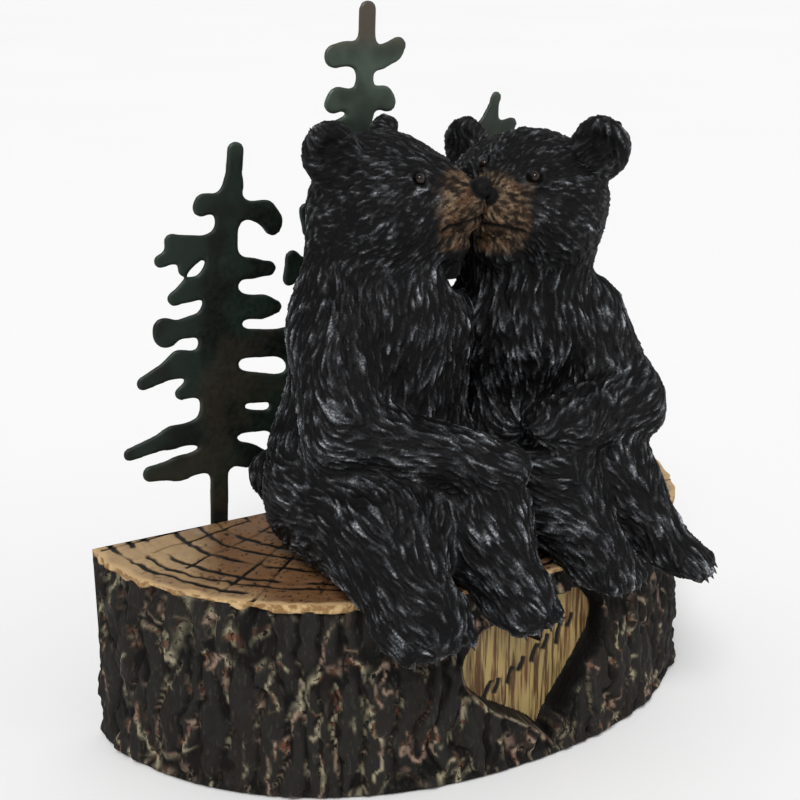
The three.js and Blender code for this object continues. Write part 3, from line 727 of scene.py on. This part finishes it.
def make_painted_fur():
    # Cold-cast resin, painted black and dry-brushed grey: only the tops of the strands catch the brush.
    m = start_material("cold_cast_resin_fur_black_drybrushed")
    relief = value_of(m, "relief")
    patchy = lumps(m, 7.0, 2.0)
    speckle = lumps(m, 0.5, 3.0)
    brushed = ramp(m, relief, 0.26, 1.0)
    brushed = times(m, brushed, ramp(m, patchy, 0.38, 0.64, 0.42, 1.0))
    brushed = times(m, brushed, ramp(m, speckle, 0.4, 0.58, 0.2, 1.0))
    black = mix(m, ramp(m, patchy, 0.3, 0.7), linear("#060607"), linear("#0C0B0B"))
    grey = mix(m, ramp(m, relief, 0.6, 1.2), linear("#5F6266"), linear("#B2B5BA"))
    coat = mix(m, brushed, black, grey)
    # The muzzles are washed brown with tan on the strand tips.
    tan = mix(m, ramp(m, relief, 0.0, 0.9), linear("#1B130D"), linear("#7D6852"))
    tan = mix(m, ramp(m, lumps(m, 3.2, 2.0), 0.46, 0.66, 0.0, 0.75), tan, linear("#4E3423"))
    tan = mix(m, ramp(m, speckle, 0.52, 0.64, 0.0, 0.8), tan, linear("#120D09"))
    coat = mix(m, value_of(m, "muzzle"), coat, tan)
    coat = mix(m, value_of(m, "nose"), coat, linear("#0A0A0B"))
    # Painted shade: near black in the mouth crease, nose split, nostrils, eye sockets and ear hollows.
    coat = mix(m, value_of(m, "dark"), coat, linear("#040404"))
    rough = ramp(m, speckle, 0.3, 0.7, 0.5, 0.7)
    # The grit of the paint, drawn about as coarse as the hairs so that it shows.
    grit = bumped(m, lumps(m, 0.55, 2.0), 0.3, 0.2)
    return finish_material(m, coat, rough, grit, IOR=1.45, Specular_IOR_Level=0.14)


def make_glossy_black():
    # Glass-smooth lacquer, so each eye takes one small sharp light.
    m = start_material("black_lacquer_eyes")
    tint = mix(m, ramp(m, lumps(m, 1.2, 1.0), 0.4, 0.6), linear("#0B0807"), linear("#20140D"))
    return finish_material(m, tint, 0.16, None, IOR=1.5, Specular_IOR_Level=0.35)


def make_claw_horn():
    # Horn-coloured paint rubbed thin over black.
    m = start_material("painted_horn_claws")
    tint = mix(m, ramp(m, lumps(m, 1.0, 2.0), 0.4, 0.62), linear("#121111"), linear("#3A3836"))
    return finish_material(m, tint, 0.35, None, IOR=1.5, Specular_IOR_Level=0.3)


def make_bark():
    # Cast bark painted near black; the edges of the plates are picked out in tan, olive and rose.
    m = start_material("cold_cast_resin_bark_painted")
    deep = mix(m, ramp(m, value_of(m, "plate"), 0.0, 0.7), linear("#080706"), linear("#211F1C"))
    deep = mix(m, ramp(m, lumps(m, 7.0, 3.0, (1, 1, 0.4)), 0.46, 0.7, 0.0, 0.6), deep, linear("#1E1512"))
    fine = lumps(m, 1.0, 4.0, (1, 1, 0.3))
    deep = mix(m, ramp(m, fine, 0.52, 0.78, 0.0, 0.45), deep, linear("#4E4B44"))
    picked = mix(m, ramp(m, lumps(m, 8.0, 1.0), 0.46, 0.6), linear("#9B937A"), linear("#8F7868"))
    picked = mix(m, ramp(m, lumps(m, 3.0, 1.0), 0.54, 0.66), picked, linear("#6E4A38"))
    vein = times(m, value_of(m, "vein"), ramp(m, lumps(m, 1.3, 3.0), 0.34, 0.5))
    colour = mix(m, vein, deep, picked)
    # Painted shade: the heart recess's wall near black.
    colour = mix(m, value_of(m, "wall"), colour, linear("#060505"))
    lip = mix(m, ramp(m, lumps(m, 2.0, 2.0), 0.4, 0.62), linear("#8A6A44"), linear("#C3A578"))
    colour = mix(m, value_of(m, "lip"), colour, lip)
    rough = ramp(m, fine, 0.3, 0.7, 0.55, 0.8)
    grain = bumped(m, fine, 0.6, 0.5)
    return finish_material(m, colour, rough, grain, IOR=1.45, Specular_IOR_Level=0.16)


def make_heart_floor():
    # Pale wood grain painted up and down the recess, brown in its grooves.
    m = start_material("painted_wood_grain_heart")
    streak = lumps(m, 1.0, 3.0, (1, 1, 0.06))
    wide = lumps(m, 5.0, 2.0, (1, 1, 0.12))
    colour = mix(m, ramp(m, streak, 0.40, 0.60), linear("#553A22"), linear("#A8925F"))
    colour = mix(m, ramp(m, wide, 0.5, 0.7, 0.0, 0.4), colour, linear("#7C4E2C"))
    # Painted shade: the heart recess's wall near black.
    colour = mix(m, value_of(m, "wall"), colour, linear("#060505"))
    colour = mix(m, value_of(m, "stroke"), colour, linear("#0A0908"))
    grain = bumped(m, streak, 0.6, 0.4)
    return finish_material(m, colour, 0.55, grain, IOR=1.45, Specular_IOR_Level=0.3)


def make_sawn_top():
    # Sawn end grain in cream over tan; the cut rings and drying cracks hold black wash.
    m = start_material("painted_sawn_end_grain")
    cloud = lumps(m, 14.0, 3.0)
    colour = mix(m, ramp(m, cloud, 0.38, 0.62), linear("#8B7050"), linear("#AD9069"))
    colour = mix(m, ramp(m, lumps(m, 5.0, 3.0), 0.5, 0.72, 0.0, 0.6), colour, linear("#9C8874"))
    # Painted shade round the bears' feet, with the random stains, in brown.
    colour = mix(m, times(m, value_of(m, "painted_shade_and_stain"), 0.75), colour, linear("#5E371B"))
    specks = ramp(m, lumps(m, 1.1, 4.0), 0.55, 0.66, 0.0, 0.9)
    # The black specks are denser in that painted shade and in the stains.
    specks = times(m, specks, ramp(m, value_of(m, "painted_shade_and_stain"), 0.0, 0.8, 0.25, 1.0))
    colour = mix(m, specks, colour, linear("#1C110A"))
    colour = mix(m, value_of(m, "edge"), colour, linear("#C4A478"))
    colour = mix(m, ramp(m, value_of(m, "groove"), 0.2, 0.9), colour, linear("#0C0906"))
    saw_marks = bumped(m, lumps(m, 1.2, 4.0), 0.3, 0.3)
    return finish_material(m, colour, 0.55, saw_marks, IOR=1.45, Specular_IOR_Level=0.3)


def make_tree_patina():
    # Sheet steel under dark green patina paint, with copper showing on some tips.
    m = start_material("patinated_steel_sheet")
    patch = lumps(m, 12.0, 2.0)
    place = add(m, "ShaderNodeTexCoord").outputs["Object"]
    height = add(m, "ShaderNodeSeparateXYZ", None, {"Vector": place}).outputs["Z"]
    # low and high are a darker and a lighter copy of the same patina: painted light, darker low down and
    # lighter towards the top of the sheet.
    low = mix(m, ramp(m, patch, 0.38, 0.62), linear("#0B110C"), linear("#1B2820"))
    high = mix(m, ramp(m, patch, 0.38, 0.62), linear("#2F3A31"), linear("#465247"))
    colour = mix(m, ramp(m, height, 0.139, 0.156), low, high)
    colour = mix(m, ramp(m, lumps(m, 20.0, 2.0), 0.54, 0.68, 0.0, 0.6), colour, linear("#342E24"))
    colour = mix(m, ramp(m, height, 0.164, 0.171), colour, linear("#4C443A"))
    rough = ramp(m, lumps(m, 1.5, 3.0), 0.3, 0.7, 0.38, 0.6)
    brushwork = bumped(m, lumps(m, 0.8, 2.0), 0.15, 0.1)
    return finish_material(m, colour, rough, brushwork, Metallic=0.35)


def make_floor_paint():
    # Matt white studio paint.
    m = start_material("matt_white_paint")
    tint = mix(m, lumps(m, 300.0, 1.0), linear("#F4F4F4"), linear("#F7F7F7"))
    return finish_material(m, tint, 0.9, None)


painted_fur = make_painted_fur()
lacquer = make_glossy_black()
horn = make_claw_horn()
bark = make_bark()
heart_wood = make_heart_floor()
sawn = make_sawn_top()
patina = make_tree_patina()


# ---------------------------------------------------------------- log


def log_plan(t, grow):
    """The log's plan, grown outwards: t runs from the right end of the back, round the front, to the left."""
    c, s = np.cos(t), np.sin(t)
    power = np.where(c > 0, 2 / RIGHT_FULLNESS, 2 / LEFT_FULLNESS)
    x = (LOG_HALF_WIDTH + grow) * np.sign(c) * np.abs(c) ** power
    y = BACK_FACE_Y - (LOG_DEPTH + grow) * np.abs(s) ** power
    # The right end draws in a little towards the back.
    x = x - BACK_CORNER * smooth(16, 34, y) * (x > 0)
    return x, y


def heart_inside(u, w):
    """How far a point of the heart's plane is inside the outline, in millimetres (negative outside)."""
    t = (np.arange(180) + 0.5) / 180 * 2 * math.pi
    hx = HEART_HALF_WIDTH * np.sin(t) ** 3
    hy = HEART_HEIGHT * (13 * np.cos(t) - 5 * np.cos(2 * t) - 2 * np.cos(3 * t) - np.cos(4 * t)) / 29
    best = np.full(u.shape, 1e9)
    crossings = np.zeros(u.shape, int)
    for i in range(len(t)):
        ax, ay, bx, by = hx[i], hy[i], hx[(i + 1) % len(t)], hy[(i + 1) % len(t)]
        dx, dy = bx - ax, by - ay
        s = np.clip(((u - ax) * dx + (w - ay) * dy) / (dx * dx + dy * dy), 0, 1)
        best = np.minimum(best, np.hypot(u - ax - s * dx, w - ay - s * dy))
        spans = (ay > w) != (by > w)
        crossings += spans & (u < ax + (w - ay) * dx / (dy if abs(dy) > 1e-12 else 1e-12))
    return np.where(crossings % 2 == 1, best, -best)


HEART_REACH = 25.0
COLUMN_AT_HEART, COLUMN_ELSEWHERE = 0.32, 0.62


def column_places():
    """Where the bark's columns of points stand round the plan, and how far along it each one is."""
    fine = np.linspace(0, math.pi, 6001)
    x, y = log_plan(fine, 0)
    along = np.concatenate([[0], np.cumsum(np.hypot(np.diff(x), np.diff(y)))])
    at_heart = (np.abs(x - HEART_X) < HEART_REACH) & (y < 0)
    wanted = np.where(at_heart, COLUMN_AT_HEART, COLUMN_ELSEWHERE)
    count = np.concatenate([[0], np.cumsum(np.diff(along) / wanted[1:])])
    steps = int(count[-1])
    t = np.interp(np.arange(steps + 1) * count[-1] / steps, count, fine)
    return t, np.interp(t, fine, along)


columns, along = column_places()
COLUMN_COUNT = len(columns)
centre_drop = LOG_DEPTH * (1 - (HEART_X / LOG_HALF_WIDTH) ** RIGHT_FULLNESS) ** (1 / RIGHT_FULLNESS)
heart_centre = np.array([HEART_X, BACK_FACE_Y - centre_drop, HEART_Z])
heart_out = np.array([math.sin(HEART_TURN), -math.cos(HEART_TURN), 0])
heart_side = np.array([math.cos(HEART_TURN), math.sin(HEART_TURN), 0])

RAGGED = 0.7
rim = 0.6 * flat_noise(along, along * 0, 5.0, 3) + 0.4 * flat_noise(along, along * 0, 1.6, 4)
rim = RAGGED * rim - 0.2

# Bark: rows of points, the plates and the chips on them, and the carved marks in the heart.
ROW_STEP = 0.36
FOOT_ROWS = (0, 0.5, 1.0)
RIM_ROWS = (48.9, 49.25, 49.6, LOG_HEIGHT)
PLATE_WIDTH, PLATE_TALL, PLATE_HEIGHT = 5.6, 34.0, 2.1
CHIP_WIDTH, CHIP_TALL, CHIP_HEIGHT = 3.0, 11.0, 0.7
HEART_EDGE = 0.85  # the wood starts this far inside the outline, at the foot of the recess's wall
MARK_DEPTH = 0.35
MARK_HALF_LENGTHS = (4.2, 1.9, 2.2, 1.8, 2.3, 1.9, 3.4, 1.8)


def thread(at_s, at_z):
    """Noise whose zero lines wander up the bark like caught paint."""
    wriggle = 1.1 * flat_noise(at_s, at_z * 0.8, 1.9, 65) + 1.6 * flat_noise(at_s, at_z, 5.0, 66)
    return flat_noise(at_s + wriggle, at_z * 0.2, 2.7, 61)


def corners_of(grid):
    """The four corners of each cell of a grid, going round."""
    return [grid[:-1, :-1], grid[:-1, 1:], grid[1:, 1:], grid[1:, :-1]]


def build_bark():
    """The barked wall with its heart recess, the flat back and the underside. Gives the rim's points."""
    z = np.concatenate([FOOT_ROWS, np.arange(1.4, LOG_HEIGHT - 1.2, ROW_STEP), RIM_ROWS])
    S, Z = np.meshgrid(along, z, indexing="ij")
    T = np.meshgrid(columns, z, indexing="ij")[0]
    wander = 2.6 * flat_noise(S, Z * 0.55, 7.0, 21) + 1.1 * flat_noise(S, Z, 3.4, 22)
    climb = Z + 3.0 * flat_noise(S, Z, 6.0, 23)
    inside, label = plates(S + wander, climb, PLATE_WIDTH, PLATE_TALL, 31)
    inside_chip, chip_label = plates(S + 0.8 * wander, Z + wander, CHIP_WIDTH, CHIP_TALL, 33)
    plate = smooth(0.0, 0.42, inside) * (0.5 + 0.5 * label)
    chips = smooth(0.0, 0.3, inside_chip) * chip_label
    height = PLATE_HEIGHT * plate + CHIP_HEIGHT * chips
    height += 0.35 * flat_noise(S * 1.4, Z * 0.45, 1.3, 24)
    height += 0.6 * flat_noise(S * 1.2, Z * 0.3, 3.0, 25) - 1.5
    height += 0.16 * flat_noise(S, Z * 0.7, 0.9, 26)
    foot = FOOT_FLARE * (1 - Z / LOG_HEIGHT) ** 1.5 - 1.2 * smooth(0.8, 0.0, Z)
    height = height * smooth(0.0, 2.0, Z) * smooth(LOG_HEIGHT - 0.6, LOG_HEIGHT - 2.6, Z)
    lip_depth = 0.75 + 1.5 * np.clip(flat_noise(S, S * 0, 3.3, 41) + 0.25, 0, 1)
    lip = smooth(LOG_HEIGHT - lip_depth - 0.3, LOG_HEIGHT - lip_depth, Z)
    height = (height + foot - 0.75 * smooth(LOG_HEIGHT - 8, LOG_HEIGHT - 2, Z)) * (1 - lip)
    height += lip * rim[:, None]
    ends = smooth(0, 1.5, np.minimum(S, along[-1] - S))
    X, Y = log_plan(T, height * ends)
    Y[0], Y[-1] = BACK_FACE_Y, BACK_FACE_Y
    P = np.stack([X, Y, Z], -1)

    # The heart recess: points inside its outline go back to a flat floor. The outline is drawn on the
    # wall as it would be without bark, so it stays clean.
    even = np.stack([*log_plan(T, foot), Z], -1) - heart_centre
    across, rise = even @ heart_side, even[..., 2]
    u = across * math.cos(HEART_LEAN) + rise * math.sin(HEART_LEAN)
    w = -across * math.sin(HEART_LEAN) + rise * math.cos(HEART_LEAN)
    near = (np.abs(u) < 26) & (np.abs(w) < 28) & (P[..., 1] < 0)
    into = np.full(u.shape, -9.0)
    into[near] = heart_inside(u[near], w[near])
    depth = (P - heart_centre) @ heart_out
    sink = smooth(0.0, 0.9, into)
    floor_relief = 0.16 * flat_noise(u * 2.2, w * 0.12, 1.6, 51)
    target = -HEART_DEPTH + floor_relief
    P = P + ((target - depth) * sink)[..., None] * heart_out
    stroke = stroke_mask(u, w)
    P = P - (MARK_DEPTH * stroke * sink)[..., None] * heart_out
    raised_lip = np.exp(-((into + 0.7) / 0.6) ** 2)
    P = P + (0.5 * raised_lip * (into > -4))[..., None] * heart_out
    # wall: painted shade on the recess's wall, on its right and upper side only
    wall = smooth(1.3, 0.85, into) * smooth(-0.8, 0.0, into) * smooth(-1.0, 2.0, across + 0.4 * rise)

    # Paint caught in broken wandering threads, on the edges of the plates and on the heart's lip.
    here = thread(S, Z)
    slope = np.hypot(thread(S + 0.1, Z) - here, thread(S, Z + 0.1) - here) / 0.1
    vein = np.exp(-(here / (slope + 0.14) / 0.25) ** 2)
    vein = vein * smooth(0.0, 0.3, flat_noise(S, Z * 0.6, 4.0, 63))
    plate_edge = np.exp(-((inside - 0.13) / 0.055) ** 2) * smooth(-0.1, 0.4, flat_noise(S, Z, 4.2, 62))
    vein = np.clip(vein + 0.5 * plate_edge, 0, 1) * (1 - sink)
    heart_lip = np.exp(-((into + 0.35) / 0.3) ** 2) * smooth(6, 0, rise) * smooth(6, 0, across)
    vein = np.maximum(vein, 0.6 * heart_lip)

    n_rows = len(z)
    index = np.arange(COLUMN_COUNT * n_rows).reshape(COLUMN_COUNT, n_rows)
    faces = np.stack(corners_of(index), -1).reshape(-1, 4)
    which = (np.min(corners_of(into), 0).reshape(-1) > HEART_EDGE).astype(int)
    points = P.reshape(-1, 3)
    # Flat back and underside, with points of their own, so their paint is plain and their edges are sharp.
    ring = np.arange(COLUMN_COUNT) + len(points)
    first, last = COLUMN_COUNT + len(points) + np.arange(2 * n_rows).reshape(2, n_rows)
    points = np.concatenate([points, P[:, 0], P[0], P[-1], [[0, 20, 0]]])
    foot_fan = [[ring[i], ring[i + 1], len(points) - 1] for i in range(COLUMN_COUNT - 1)]
    foot_fan.append([ring[-1], ring[0], len(points) - 1])
    back = [[first[k], last[k], last[k + 1], first[k + 1]] for k in range(n_rows - 1)]
    values = dict(plate=plate, vein=vein, lip=lip, wall=wall, stroke=stroke)
    plain = np.zeros(len(points) - P[..., 0].size)
    values = {k: np.concatenate([v.reshape(-1), plain]) for k, v in values.items()}
    all_faces = faces.tolist() + foot_fan + back
    which = np.concatenate([which, np.zeros(len(foot_fan) + len(back), int)])
    make_piece("log_bark", points, all_faces, [bark, heart_wood], "log_resin", "log_base", values, which)
    return P[:, -1, :]


def stroke_mask(u, w):
    """A slanting row of short cuts across the heart's floor. They are marks only."""
    depth = np.zeros(u.shape)
    rng = np.random.default_rng(77)
    for i, half in enumerate(MARK_HALF_LENGTHS):
        x = -14.0 + 4.0 * i
        y = -5.5 + 1.3 * i
        lean = 0.95 + 0.2 * rng.random()
        d = np.array([math.cos(lean), math.sin(lean)])
        a = (u - x) * d[0] + (w - y) * d[1]
        b = (u - x) * d[1] - (w - y) * d[0] + 0.16 * a * a / half * (1 if i % 2 else -1)
        cut = smooth(1.0, 0.6, np.abs(b)) * smooth(half + 0.4, half, np.abs(a))
        depth = np.maximum(depth, cut)
    return depth


# Each ring's size as a share of the rim.
RING_SHARES = (0.9375, 0.8875, 0.8375, 0.7425, 0.659, 0.586, 0.499, 0.42, 0.345, 0.27, 0.195, 0.12)
TOP_ROWS = 96
CRACK_COUNT = 19
CRACK_HUB = np.array([0.0, 40.0])
GROOVE_DEPTH = 0.4


def build_top(edge):
    """The sawn top, from the rim in to the middle of the back edge, with its rings and drying cracks."""
    pole = np.array([0.0, BACK_FACE_Y, LOG_HEIGHT])
    rho = np.concatenate([np.linspace(1, 0.06, TOP_ROWS), [0.0]])
    R, C = np.meshgrid(rho, np.arange(COLUMN_COUNT), indexing="xy")
    P = pole + R[..., None] * (edge[:, None, :] - pole)
    P[..., 2] = LOG_HEIGHT
    x, y = P[..., 0], P[..., 1]
    groove = np.zeros(R.shape)
    for i, ring in enumerate(RING_SHARES):
        wave = 0.010 * flat_noise(x, y, 11.0, 70 + i) + 0.003 * flat_noise(x, y, 2.5, 90 + i)
        far = np.abs(R - ring - wave) * 72.0
        broken = smooth(-0.45, -0.1, flat_noise(x, y, 9.0, 110 + i))
        groove = np.maximum(groove, smooth(0.85, 0.3, far) * (0.35 + 0.65 * broken))
    rng = np.random.default_rng(5)
    for k in range(CRACK_COUNT):
        angle = math.radians(184 + 9.4 * k + rng.uniform(-2.5, 2.5))
        start, stop = rng.uniform(0.86, 1.02), rng.uniform(0.38, 0.66)
        d = np.array([math.cos(angle), math.sin(angle)])
        from_hub_x, from_hub_y = x - CRACK_HUB[0], y - CRACK_HUB[1]
        a = from_hub_x * d[0] + from_hub_y * d[1]
        b = from_hub_x * d[1] - from_hub_y * d[0] + 0.6 * flat_noise(x, y, 7.0, 130 + k)
        crack = smooth(0.72, 0.26, np.abs(b)) * (a > 0)
        crack = crack * smooth(stop - 0.02, stop + 0.03, R) * (R < start)
        depth = 0.55 + 0.45 * smooth(-0.4, 0.1, flat_noise(x, y, 6.0, 150 + k))
        groove = np.maximum(groove, crack * depth)
    P[..., 2] -= GROOVE_DEPTH * groove * (R < 0.995) * (R > 0.07)
    P[..., 2] += 0.12 * flat_noise(x, y, 3.0, 170) * (R < 0.99) * (R > 0.07)
    # Painted shade: the top is painted darker round the foot of the bears; random stains are joined to it.
    from_bears = np.hypot((x + 16) / 36, (y - 4) / 36) + 0.16 * flat_noise(x, y, 8.0, 171)
    stain = 0.35 * smooth(0.1, 0.5, flat_noise(x, y, 12.0, 173))
    painted_shade_and_stain = np.maximum(smooth(1.5, 1.0, from_bears), stain)
    edge_light = smooth(0.975, 0.99, R + 0.012 * flat_noise(x, y, 3.0, 172))
    n_rows = len(rho)
    index = np.arange(COLUMN_COUNT * n_rows).reshape(COLUMN_COUNT, n_rows)
    faces = np.stack(corners_of(index), -1).reshape(-1, 4)
    values = dict(groove=groove, painted_shade_and_stain=painted_shade_and_stain, edge=edge_light)
    values = {k: v.reshape(-1) for k, v in values.items()}
    make_piece("log_sawn_top", P.reshape(-1, 3), faces, [sawn], "log_resin", "log_base", values)


build_top(build_bark())

# ---------------------------------------------------------------- bears in place

carve_bear("left_bear", LEFT_BEAR, RIGHT_BEAR)
carve_bear("right_bear", RIGHT_BEAR, LEFT_BEAR)
for name, feet in (("left_bear_claws", LEFT_FEET), ("right_bear_claws", RIGHT_FEET)):
    make_piece(name, *claws_of(feet), [horn], "bear_resin", "bear_pair")

# ---------------------------------------------------------------- trees

TREE_FILLET = 2.6
TREE_SHIFT_X, TREE_SHIFT_Z = 0.3, -0.2
SHEET_THICKNESS, SHEET_MIDDLE_Y, ROLLED_EDGE = 1.2, 34.9, 0.35
SHEET_STEP = np.array([0.65, 0.3, 0.65])
SHEET_CELLS = (213, 9, 235)
BRANCH_SPACING = 11
TRUNK_FOOT_Z = 30

# Each stroke is a run of (x, z, half width).
left_tree = (
    ((-38.5, 144, 2.1), (-39.5, 135.5, 2), (-41, 128.5, 2.6), (-43.5, 114.5, 4.1), (-44.6, 99.5, 4.8)),
    ((-44.6, 99.5, 4.8), (-45.3, 80.5, 4.6), (-46, 67.5, 2.4), (-47.5, TRUNK_FOOT_Z, 2.3)),
    ((-41.5, 132, 2.5), (-47, 132, 1.9), (-48, 131, 1.6)),
    ((-38, 130, 2.2), (-31.5, 128.5, 2.4), (-29.5, 126, 2), (-29.5, 124.5, 1.7)),
    ((-44.5, 122, 2.8), (-51.5, 122, 2.3), (-55.5, 124, 1.8)),
    ((-53.5, 121, 2.1), (-58.5, 119.5, 1.6)),
    ((-51, 119.5, 1.8), (-53, 116.5, 1.2)),
    ((-40.5, 116, 3.1), (-35.5, 115, 2), (-31, 114.5, 1.9)),
    ((-46.5, 113, 2.5), (-51.5, 111.5, 2.2), (-55.5, 110, 1.8)),
    ((-41, 106, 3.8), (-33, 105, 2.5), (-29.5, 104.5, 1.7)),
    ((-46, 104, 2.8), (-52.5, 102.4, 2), (-58.5, 102, 2.2), (-59, 103.5, 1.7)),
    ((-58, 102, 2.2), (-58, 100.5, 2.1)),
    ((-47.5, 92.5, 3.8), (-55, 93.5, 2.8), (-64.5, 90, 1.7)),
    ((-50, 87.5, 3.2), (-55, 86, 1.7)),
    ((-48, 75.5, 3.9), (-58, 75, 2.4), (-69, 72.5, 1.6)),
    ((-47, 68, 3.6), (-56.5, 66.5, 2.7), (-64, 66.5, 2.1)),
    ((-45, 69, 4), (-38, 66.5, 2.6), (-34.5, 66, 1.5)),
)

middle_tree = (
    ((-3, 175, 2.2), (-3.5, 166, 2.2), (-4.5, 152, 2.5), (-5.5, 140, 3.4), (-6, 110, 4.4), (-6.5, 80, 4.4)),
    ((-6.5, 80, 4.4), (-7, 64, 2.6), (-7, TRUNK_FOOT_Z, 2.4)),
    ((-5.5, 164, 2.5), (-9, 165, 2.3), (-12, 164.5, 2.8)),
    ((-3, 163.5, 2.1), (0.5, 163.5, 2.1), (4, 165, 2), (5.5, 166.5, 1.7)),
    ((-5.5, 154, 2), (-9, 154, 1.8), (-11.5, 154.5, 2), (-13, 153, 1.9)),
    ((-2.5, 154, 2), (1, 154, 2.2), (2.5, 152.5, 2)),
    ((-6.5, 148.5, 2), (-12, 147.5, 1.6)),
    ((-3, 144, 2.4), (5, 142.5, 2), (8, 141, 1.7)),
    ((-7, 138, 2.8), (-14, 136, 2.2), (-17, 136, 1.8)),
    ((-7, 128, 3), (-14, 126, 2.2), (-19.5, 126, 1.8), (-20.5, 128, 1.7)),
    ((-18.5, 125, 1.7), (-20, 122.5, 1.4)),
    ((-4, 130, 3), (6, 127.5, 2.4), (10, 125, 2)),
    ((-8, 116, 3.2), (-17, 113.5, 2.4), (-24, 114, 1.8), (-24.5, 116.5, 1.8)),
    ((-22, 113, 1.6), (-25.5, 111, 1.6)),
    ((-4, 114, 3.4), (8, 111, 2.6), (14, 111.5, 1.9)),
    ((-9, 97.5, 4), (-26, 94.8, 3.4), (-40.5, 96.5, 3.8)),
    ((-24.5, 95, 2.8), (-24.5, 84, 2.2)),
    ((-8, 85.5, 4.4), (-26, 82.6, 3.3), (-44.5, 86, 4.6)),
    ((-8, 76, 3.4), (-29.5, 74.6, 2.4), (-43.5, 76.5, 3.4)),
    ((-28, 78.5, 3), (-28.6, 69.5, 2.6)),
    ((-8, 66, 3), (-16, 63, 2.4)),
)

right_tree = (
    ((34, 152, 1.4), (32.5, 147, 1.5), (31.5, 143.5, 2.6), (31, 120, 3.6), (30.5, 82, 4.2)),
    ((30.5, 82, 4.2), (30, 66, 2.6), (30, TRUNK_FOOT_Z, 2.4)),
    ((33, 143.5, 1.6), (37.5, 144, 1.4), (39, 145, 1.3)),
    ((31.5, 144, 1.6), (28.5, 143, 1.5)),
)


def spread_branches(trunk_x, top, count, reach, spread):
    """The branches behind the bears, longer towards the ground and a little uneven."""
    strokes = []
    for i in range(count):
        z = top - i * BRANCH_SPACING
        odd = i % 2
        for side in (-1, 1):
            uneven = 1.5 * odd if side > 0 else 2 - 1.5 * odd
            out = side * (reach + spread * i + uneven)
            width = 2.2 + 0.18 * i
            root = (trunk_x, z + 1, width + 0.8)
            bend = (trunk_x + 0.6 * out, z - 1.5, width)
            strokes.append((root, bend, (trunk_x + out, z - 3 + odd, width * 0.8)))
    return strokes


def cut_sheet():
    """The three trees as one sheet with rolled edges."""
    behind = [s for s in spread_branches(-5, 99, 3, 15, 3.5) if s[2][0] > -5]
    strokes = [*left_tree, *middle_tree, *right_tree, *spread_branches(31, 132, 6, 9, 1.7), *behind]
    low = np.array([-76.0, 33.7, TRUNK_FOOT_Z - 3.5])
    axes = [low[i] + SHEET_STEP[i] * np.arange(SHEET_CELLS[i]) for i in range(3)]
    flat = np.stack(np.meshgrid(axes[0], [0.0], axes[2], indexing="ij"), -1)
    outline = 1e3
    for stroke in strokes:
        for (ax, az, ar), (bx, bz, br) in zip(stroke, stroke[1:]):
            piece = limb((ax, 0, az), (bx, 0, bz), ar, br, TREE_FILLET)
            outline = blend_min(outline, distance(flat, piece), TREE_FILLET)
    across = outline + ROLLED_EDGE
    through = (np.abs(axes[1] - SHEET_MIDDLE_Y) - SHEET_THICKNESS / 2 + ROLLED_EDGE)[None, :, None]
    solid = np.hypot(np.maximum(across, 0), np.maximum(through, 0)) - ROLLED_EDGE
    solid = solid + np.minimum(np.maximum(across, through), 0)
    points, faces = surface(solid, low, SHEET_STEP)
    points = points + np.array([TREE_SHIFT_X, 0, TREE_SHIFT_Z])
    make_piece("pine_trees", points, faces, [patina], "tree_metal", "pine_tree_plate")


cut_sheet()

# ---------------------------------------------------------------- studio


# From here on, in metres.
FLOOR_HALF_WIDTH, FLOOR_DROP = 3.0, 0.0003
WORLD_LIGHT = 0.5


def make_floor():
    """A wide pale floor, just clear of the log's underside."""
    mesh = bpy.data.meshes.new("studio_floor")
    signs = ((-1, -1), (1, -1), (1, 1), (-1, 1))
    corners = [(a * FLOOR_HALF_WIDTH, b * FLOOR_HALF_WIDTH, -FLOOR_DROP) for a, b in signs]
    mesh.from_pydata(corners, [], [(0, 1, 2, 3)])
    mesh.materials.append(make_floor_paint())
    floor = bpy.data.objects.new("studio_floor", mesh)
    bpy.context.scene.collection.objects.link(floor)


def soft_sun(name, place, strength, width):
    """A distant light from that side, as wide in degrees as says how soft its shadows are."""
    data = bpy.data.lights.new(name, "SUN")
    data.angle = math.radians(width)
    data.energy = strength
    lamp = bpy.data.objects.new(name, data)
    lamp.rotation_euler = Vector(place).to_track_quat("Z", "Y").to_euler()
    bpy.context.scene.collection.objects.link(lamp)


make_floor()
soft_sun("key_light", (-0.55, -0.75, 1.0), 2.1, 24)
soft_sun("fill_light", (0.9, -0.6, 0.55), 0.45, 60)

# Soft white light from all round.
world = bpy.data.worlds.new("white_studio")
world.use_nodes = True
sky = world.node_tree.nodes["Background"]
sky.inputs["Color"].default_value = linear("#FFFFFF")
sky.inputs["Strength"].default_value = WORLD_LIGHT
bpy.context.scene.world = world
bpy.context.scene.view_settings.view_transform = "Standard"

CAMERA_PLACE = Vector((-0.168, -0.2839, 0.2005))
CAMERA_BACK = Vector((-0.4527, -0.8287, 0.3291)).normalized()
right_way = Vector((0, 0, 1)).cross(CAMERA_BACK).normalized()
up_way = CAMERA_BACK.cross(right_way)
camera_data = bpy.data.cameras.new("camera")
camera_data.sensor_width = 36
camera_data.lens = 65.0
camera = bpy.data.objects.new("camera", camera_data)
camera.matrix_world = Matrix((
    (right_way.x, up_way.x, CAMERA_BACK.x, CAMERA_PLACE.x),
    (right_way.y, up_way.y, CAMERA_BACK.y, CAMERA_PLACE.y),
    (right_way.z, up_way.z, CAMERA_BACK.z, CAMERA_PLACE.z),
    (0, 0, 0, 1),
))
bpy.context.scene.collection.objects.link(camera)
bpy.context.scene.camera = camera

bpy.context.view_layer.update()
